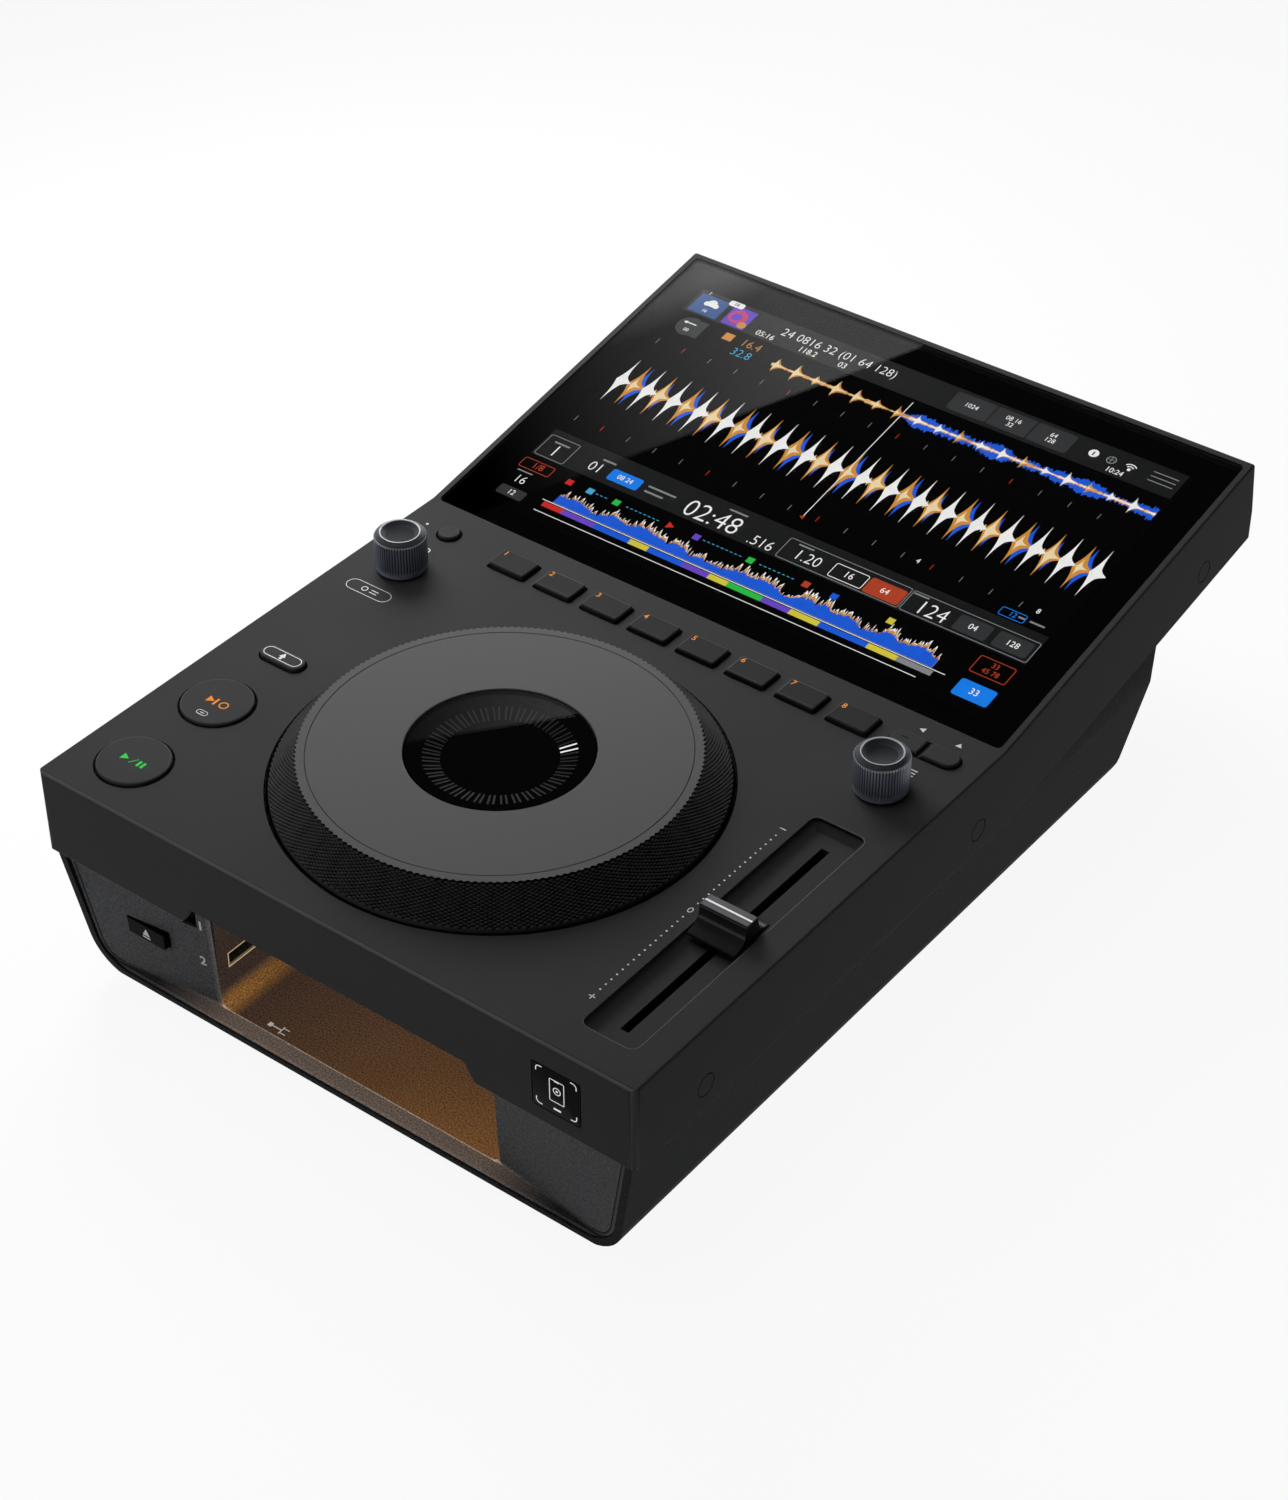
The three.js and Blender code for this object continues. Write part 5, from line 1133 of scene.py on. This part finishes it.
PICTURE_FIGURES = (
    ("white", 1, "24 0816 32 (01 64 128)", 4.4, 69, 132.0), ("white", 3, "1", 2.0, 4.8, 136.9),
    ("slate", 3, "08", 1.7, 18, 136.4), ("white", 2, "16", 1.9, 8.7, 127.4),
    ("orange", 1, "16.4", 4.2, 37.0, 119.2), ("cyan", 1, "32.8", 4.2, 36.4, 113.2),
    ("white", 3, "1", 6.0, 8.4, 33.4), ("deep_orange", 2, "1/8", 3.2, 8.2, 23.3),
    ("white", 2, "16", 4.2, 6.6, 14.6), ("white", 2, "12", 2.6, 8, 7.5),
    ("white", 3, "01", 5.0, 27.2, 34.0), ("white", 3, "02:48", 8.8, 81.0, 33.8),
    ("white", 3, ".516", 5.0, 104, 31.8), ("white", 3, "1.20", 5.2, 123.4, 33.6),
    ("white", 3, "16", 3.2, 141, 33.9), ("white", 3, "124", 6.8, 176.4, 33.4),
    ("white", 3, "08 24", 2.4, 40.8, 34.2), ("white", 3, "64", 2.8, 156.4, 33.8),
    ("white", 3, "04", 2.8, 192.8, 34.4), ("white", 3, "128", 2.8, 209, 34.4),
    ("white", 2, "33", 3.0, 210.1, 8.5), ("deep_orange", 2, "33", 2.4, 209.8, 22.4),
    ("deep_orange", 2, "45 78", 2.4, 209.8, 19.0), ("sky", 1, "12", 2.4, 201.2, 46.7),
    ("white", 3, "4", 2.4, 158, 52.5), ("white", 3, "8", 2.4, 208, 52.5),
    ("white", 2, "10:24", 2.6, 193, 126.8), ("white", 1, "05:16", 3.0, 38, 126.9),
    ("white", 1, "118.2", 3.0, 58, 126.9), ("white", 1, "03", 3.0, 74, 126.9),
    ("white", 2, "1024", 2.3, 129.2, 131.2), ("white", 2, "08 16", 2.3, 146.8, 132.6),
    ("white", 2, "32", 2.3, 146.8, 129.6), ("white", 2, "64", 2.3, 164.1, 132.6),
    ("white", 2, "128", 2.3, 164.1, 129.6), ("white", 3, "00", 1.8, 9.2, 114.6),
)
STRIP = (
    ("red", 22, 31), ("violet", 31, 46), ("blue", 46, 62), ("yellow", 62, 70.5),
    ("blue", 70.5, 86), ("violet", 86, 97.6), ("yellow", 97.6, 106), ("green", 106, 121),
    ("violet", 121, 133), ("yellow", 133, 145.6), ("blue", 145.6, 166), ("yellow", 166, 178.4),
    ("grey", 178.4, 192.7),
)
MARKERS = (
    ("red", 23.7, 4), ("cyan", 33.4, 4), ("green", 45.6, 4), ("red", 69.9, 3),
    ("violet", 82.1, 4), ("green", 106.1, 4), ("deep_orange", 130.4, 4), ("blue", 142.5, 4),
    ("yellow", 166.5, 4),
)
PICTURE_DOTS = (
    ("white", 3, 7.2, 131.4, 1.3), ("white", 3, 9.2, 132.3, 2.0), ("white", 3, 11.4, 131.3, 1.2),
    ("pink", 2, 22.6, 130.6, 3.9, 24), ("violet", 3, 22.2, 130.4, 2.2, 24),
    ("orange", 2, 26.6, 127.2, 1.9, 24), ("button", 1, 9.1, 116.8, 5.4, 24),
    ("white", 3, 6.6, 118.5, 1.0, 3, math.pi / 2), ("white", 1, 181.6, 131.6, 2.0),
    ("grey", 1, 189, 131.6, 2.0), ("slate", 2, 189, 131.6, 1.6), ("white", 1, 197, 130.2, 0.7),
    ("deep_orange", 3, 109.2, 50.6, 1.2, 3, math.pi / 2),
)
PICTURE_ARCS = (("white", 1, 197, 130.2, 1.7), ("white", 1, 197, 130.2, 2.9))
PICTURE_WAVES = (
    ("white", 1, 25, 191.2, 11, 9.9, 0.0, 0.4, 4, 0.55),
    ("orange", 2, 25, 191.2, 11, 9.0, 0.0, 0.4, 4, 0.42),
    ("blue", 3, 25, 191.2, 11, 7.6, 0.0, 0.4, 4, 0.25),
    ("orange", 1, 50, 109.2, 114.6, 1.1, 1.1, 0.5, 9, 0.5),
    ("cream", 2, 50, 109.2, 114.6, 0.6, 0.6, 0.5, 9, 0.5),
    ("blue", 1, 109.2, 217.4, 114.6, 4.0, 4.0, 0.5, 11, 0.55),
    ("orange", 2, 109.2, 217.4, 114.6, 1.2, 1.2, 0.5, 12, 0.6),
    ("white", 3, 109.2, 217.4, 114.6, 0.6, 0.6, 0.5, 12, 0.6),
)
# The beats of the wide curve: colour, layer, shift, drop, height, left, right, tail
EACH_BEAT = (("orange", 2, 5.9, 0, 12.0, 2.5, 3.8, 2.6),)
EVEN_BEAT = (
    ("blue", 1, 7.6, -0.3, 11.6, 3.0, 4.2, 2.6), ("cream", 3, 5.9, 0, 4.4, 1.2, 2.0, 1.6),
    ("blue", 3, 2.6, 0, 1.8, 1.0, 2.0, 1.4),
)
ODD_BEAT = (
    ("cream", 3, 5.9, 0, 8.4, 1.5, 2.2, 2.4), ("cream", 3, 3.3, 0, 2.2, 1.8, 1.4, 0.4),
    ("blue", 1, 7.2, 0, 8.6, 1.6, 2.8, 2.0),
)


def paint_overview():
    """The bursts of the upper row, warm before the cursor and white or warm after it."""
    row = 114.6
    for burst in range(18):
        u = 51.5 + 9.2 * burst
        tall = 3.3 + 1.1 * math.sin(2.3 * burst)
        if burst < 6:
            paint_spike("orange", 3, u + 0.3, row, tall + 0.7, 1.0, 4.0, 3.6)
            paint_spike("cream", 4, u, row, tall, 0.7, 2.6, 3.0)
        elif burst % 3:
            paint_spike("white", 5, u, row, tall, 0.7, 2.8, 2.6)
            paint_spike("orange", 4, u + 0.6, row, tall * 0.7, 0.6, 3.4, 3.2)
        else:
            paint_spike("orange", 5, u, row, tall * 0.9, 0.6, 3.8, 4.2)
            paint_spike("cream", 6, u, row, tall * 0.4, 0.4, 1.6, 2.0)


def paint_beats():
    """The wide curve: a white spike on each beat, coloured ones between, and ticks."""
    middle, first, pitch, beats = 78.3, 5.1, 12.32, 17
    for beat in range(beats + 1):
        paint_spike("white", 4, first + pitch * beat, middle, 12.8, 1.9, 2.6, 2.2)
    for beat in range(beats):
        u = first + pitch * beat
        for colour, layer, shift, drop, *shape in EACH_BEAT + (ODD_BEAT if beat % 2 else EVEN_BEAT):
            paint_spike(colour, layer, u + shift, middle + drop, *shape)
        colour = "red" if beat % 4 == 1 else "grey"
        for v in (52.5, 104):
            paint_bar(colour, 1, u - 1.62, v - 1.4, u - 1.38, v + 1.4)


def paint_picture():
    for paint, rows in (
            (paint_bar, PICTURE_BARS), (paint_button, PICTURE_BUTTONS), (paint_box, PICTURE_BOXES),
            (paint_figures, PICTURE_FIGURES), (paint_dot, PICTURE_DOTS), (paint_arc, PICTURE_ARCS),
            (paint_wave, PICTURE_WAVES)):
        for row in rows:
            paint(*row)
    for colour, start, end in STRIP:
        paint_bar(colour, 2, start, 7.4, end, 9.9)
    for colour, u, sides in MARKERS:
        paint_dot(colour, 2, u, 22.7, 2.0, sides, math.pi / 4 if sides == 4 else -math.pi / 2)
    for start, dashes in ((36, 3), (50, 8), (85, 9), (110, 8)):
        for u in range(start, start + 2 * dashes, 2):
            paint_bar("cyan", 1, u, 22.55, u + 1.1, 22.85)
    paint_overview()
    paint_beats()
    for colour, bm in picture.items():
        light = lit("screen_" + colour, shade(*SCREEN_COLOURS[colour]))
        make_piece("screen_" + colour, bm, picture_face, light)


def add_screen_mask():
    """The black border printed behind the glass, round the picture."""
    low, high = -1.56, -1.53
    bm = rounded_block(243.4, 157.0, low, high, 2.0, y=79.9)
    flat = [face for face in bm.faces if abs(face.normal.z) > 0.9]
    bmesh.ops.delete(bm, geom=flat, context="FACES_ONLY")
    for height in (high, low):
        rim = level_edges(bm, height)
        made = bmesh.ops.create_grid(
            bm, x_segments=1, y_segments=1, size=0.5,
            matrix=Matrix.Translation((0, 79.0, height)) @ Matrix.Diagonal((218.4, 138.6, 1, 1)))
        hole = {edge for vert in made["verts"] for edge in vert.link_edges}
        faces = {face for vert in made["verts"] for face in vert.link_faces}
        bmesh.ops.delete(bm, geom=list(faces), context="FACES_ONLY")
        bmesh.ops.triangle_fill(bm, use_beauty=True, use_dissolve=False, edges=list(hole) + rim)
    bmesh.ops.bridge_loops(bm, edges=[edge for edge in bm.edges if edge.is_boundary])
    make_piece("screen_mask", bm, screen, dull_black)


paint_picture()
add_screen_mask()


# Camera, floor and lights
def set_camera():
    """The photograph's camera, fitted to the case's corners."""
    data = bpy.data.cameras.new("camera")
    data.sensor_fit = "VERTICAL"
    data.sensor_height = 36
    data.lens = 77.57
    data.clip_start = 0.01
    camera = bpy.data.objects.new("camera", data)
    camera.location = Vector((542.7, -721.3, 756.6)) * MM
    camera.rotation_euler = [math.radians(turn) for turn in (51.522, 0.143, 37.514)]
    bpy.context.collection.objects.link(camera)
    bpy.context.scene.camera = camera


def seen_directly(tree):
    """1 for the camera and for what metal and glass show, 0 for light that spreads."""
    paths = tree.nodes.new("ShaderNodeLightPath").outputs
    mirrored = calculate(
        tree, "MAXIMUM", paths["Is Glossy Ray"], paths["Is Transmission Ray"])
    return calculate(tree, "MAXIMUM", paths["Is Camera Ray"], mirrored)


def add_stage(name, place, material):
    """A flat sheet of the surroundings."""
    bm = bmesh.new()
    bmesh.ops.create_grid(bm, x_segments=1, y_segments=1, size=0.5, matrix=place)
    mesh = bpy.data.meshes.new(name)
    bm.to_mesh(mesh)
    bm.free()
    mesh.materials.append(material)
    sheet = bpy.data.objects.new(name, mesh)
    bpy.context.collection.objects.link(sheet)
    return sheet


def set_floor():
    """A wide pale floor that keeps a soft shadow."""
    material, tree, shader = new_material("floor_pale", Roughness=0.9, Specular_IOR_Level=0.0)
    seen = seen_directly(tree)
    pale = mix(tree, cloud(tree, 2.0, 2.0), (0.9, 0.9, 0.9, 1), (0.92, 0.92, 0.92, 1))
    feed(tree, shader.inputs["Base Color"], mix(tree, seen, (0.36, 0.36, 0.36, 1), pale))
    white = add_node(tree, "ShaderNodeEmission", {"Color": (1, 1, 1, 1), "Strength": 1.0})
    blend = add_node(tree, "ShaderNodeMixShader", {
        "Fac": multiply(tree, seen, 0.92), 1: shader.outputs[0], 2: white.outputs[0]})
    feed(tree, tree.nodes["Material Output"].inputs["Surface"], blend.outputs[0])
    add_stage("floor", Matrix.Scale(12, 4), material)


def set_world():
    """Dark overhead and pale near the floor; it lights the object from the front left."""
    world = bpy.data.worlds.new("studio")
    bpy.context.scene.world = world
    world.use_nodes = True
    tree = world.node_tree
    toward = tree.nodes.new("ShaderNodeTexCoord").outputs["Generated"]
    axes = add_node(tree, "ShaderNodeSeparateXYZ", {"Vector": toward}).outputs
    pale = rescale(tree, axes["Z"], 0.1, 0.3, 1.0, 0.015)
    spread = multiply(
        tree, rescale(tree, axes["Y"], 0.1, -0.9, 0.04, 0.8),
        rescale(tree, axes["X"], 0.0, 0.55, 1, 0.03))
    level = multiply(tree, pale, calculate(tree, "MAXIMUM", spread, seen_directly(tree)))
    background = tree.nodes["Background"].inputs
    background["Color"].default_value = (1, 1, 1, 1)
    feed(tree, background["Strength"], level)


def add_side_card():
    """The soft upright light to the left, seen only as a sheen; brightest low and to the right."""
    material, tree, _ = new_material("card_light")
    run = Vector((0.617, 0.787, 0))
    place = object_place(tree)
    along = calculate_vector(tree, "DOT_PRODUCT", place, run, output="Value")
    height = add_node(tree, "ShaderNodeSeparateXYZ", {"Vector": place}).outputs["Z"]
    high = multiply(tree, calculate(tree, "POWER", fade(tree, along, -0.06, 0.12), 1.5), 0.47)
    band = multiply(
        tree, rescale(tree, height, 0.43, 0.408, 0, 0.42), fade(tree, along, 0.0, 0.06))
    low = rescale(tree, height, 0.39, 0.34, 0, 0.6)
    side = calculate(tree, "SUBTRACT", along, 0.098)
    rise = calculate(tree, "SUBTRACT", height, 0.405)
    apart = calculate(
        tree, "SQRT", add(tree, multiply(tree, side, side), multiply(tree, rise, rise)))
    spot = rescale(tree, apart, 0.01, 0.03, 0.2, 0)
    glow = add_node(tree, "ShaderNodeEmission", {
        "Color": (1, 1, 1, 1), "Strength": add(tree, high, band, low, spot)})
    feed(tree, tree.nodes["Material Output"].inputs["Surface"], glow.outputs[0])
    place = (
        Matrix.Translation((-0.3735, 0.2928, 0.272))
        @ Matrix.Rotation(math.atan2(run.y, run.x), 4, "Z")
        @ Matrix.Rotation(math.radians(90), 4, "X") @ Matrix.Diagonal((1.6, 0.484, 1, 1)))
    card = add_stage("side_card", place, material)
    card.visible_camera = False
    card.visible_diffuse = False
    card.visible_shadow = False


def add_lamp(name, place, aim, width, depth, energy):
    """A soft lamp that lights the object but doesn't show in its glass."""
    light = bpy.data.lights.new(name, "AREA")
    light.shape = "RECTANGLE"
    light.size = width
    light.size_y = depth
    light.energy = energy
    lamp = bpy.data.objects.new(name, light)
    lamp.location = place
    lamp.rotation_euler = (Vector(aim) - Vector(place)).to_track_quat("-Z", "Y").to_euler()
    lamp.visible_glossy = False
    lamp.visible_transmission = False
    bpy.context.collection.objects.link(lamp)


set_camera()
set_floor()
set_world()
add_side_card()
add_lamp("overhead", (-0.22, -0.14, 1.5), (-0.22, -0.14, 0), 0.8, 0.9, 7)
add_lamp("left_soft", (-0.4, 0.2, 0.44), (0, -0.02, 0.09), 0.35, 0.35, 3.9)
add_lamp("front_soft", (-0.45, -0.75, 0.3), (-0.05, -0.18, 0.06), 0.3, 0.3, 0.72)

bpy.context.scene.view_settings.view_transform = "Standard"
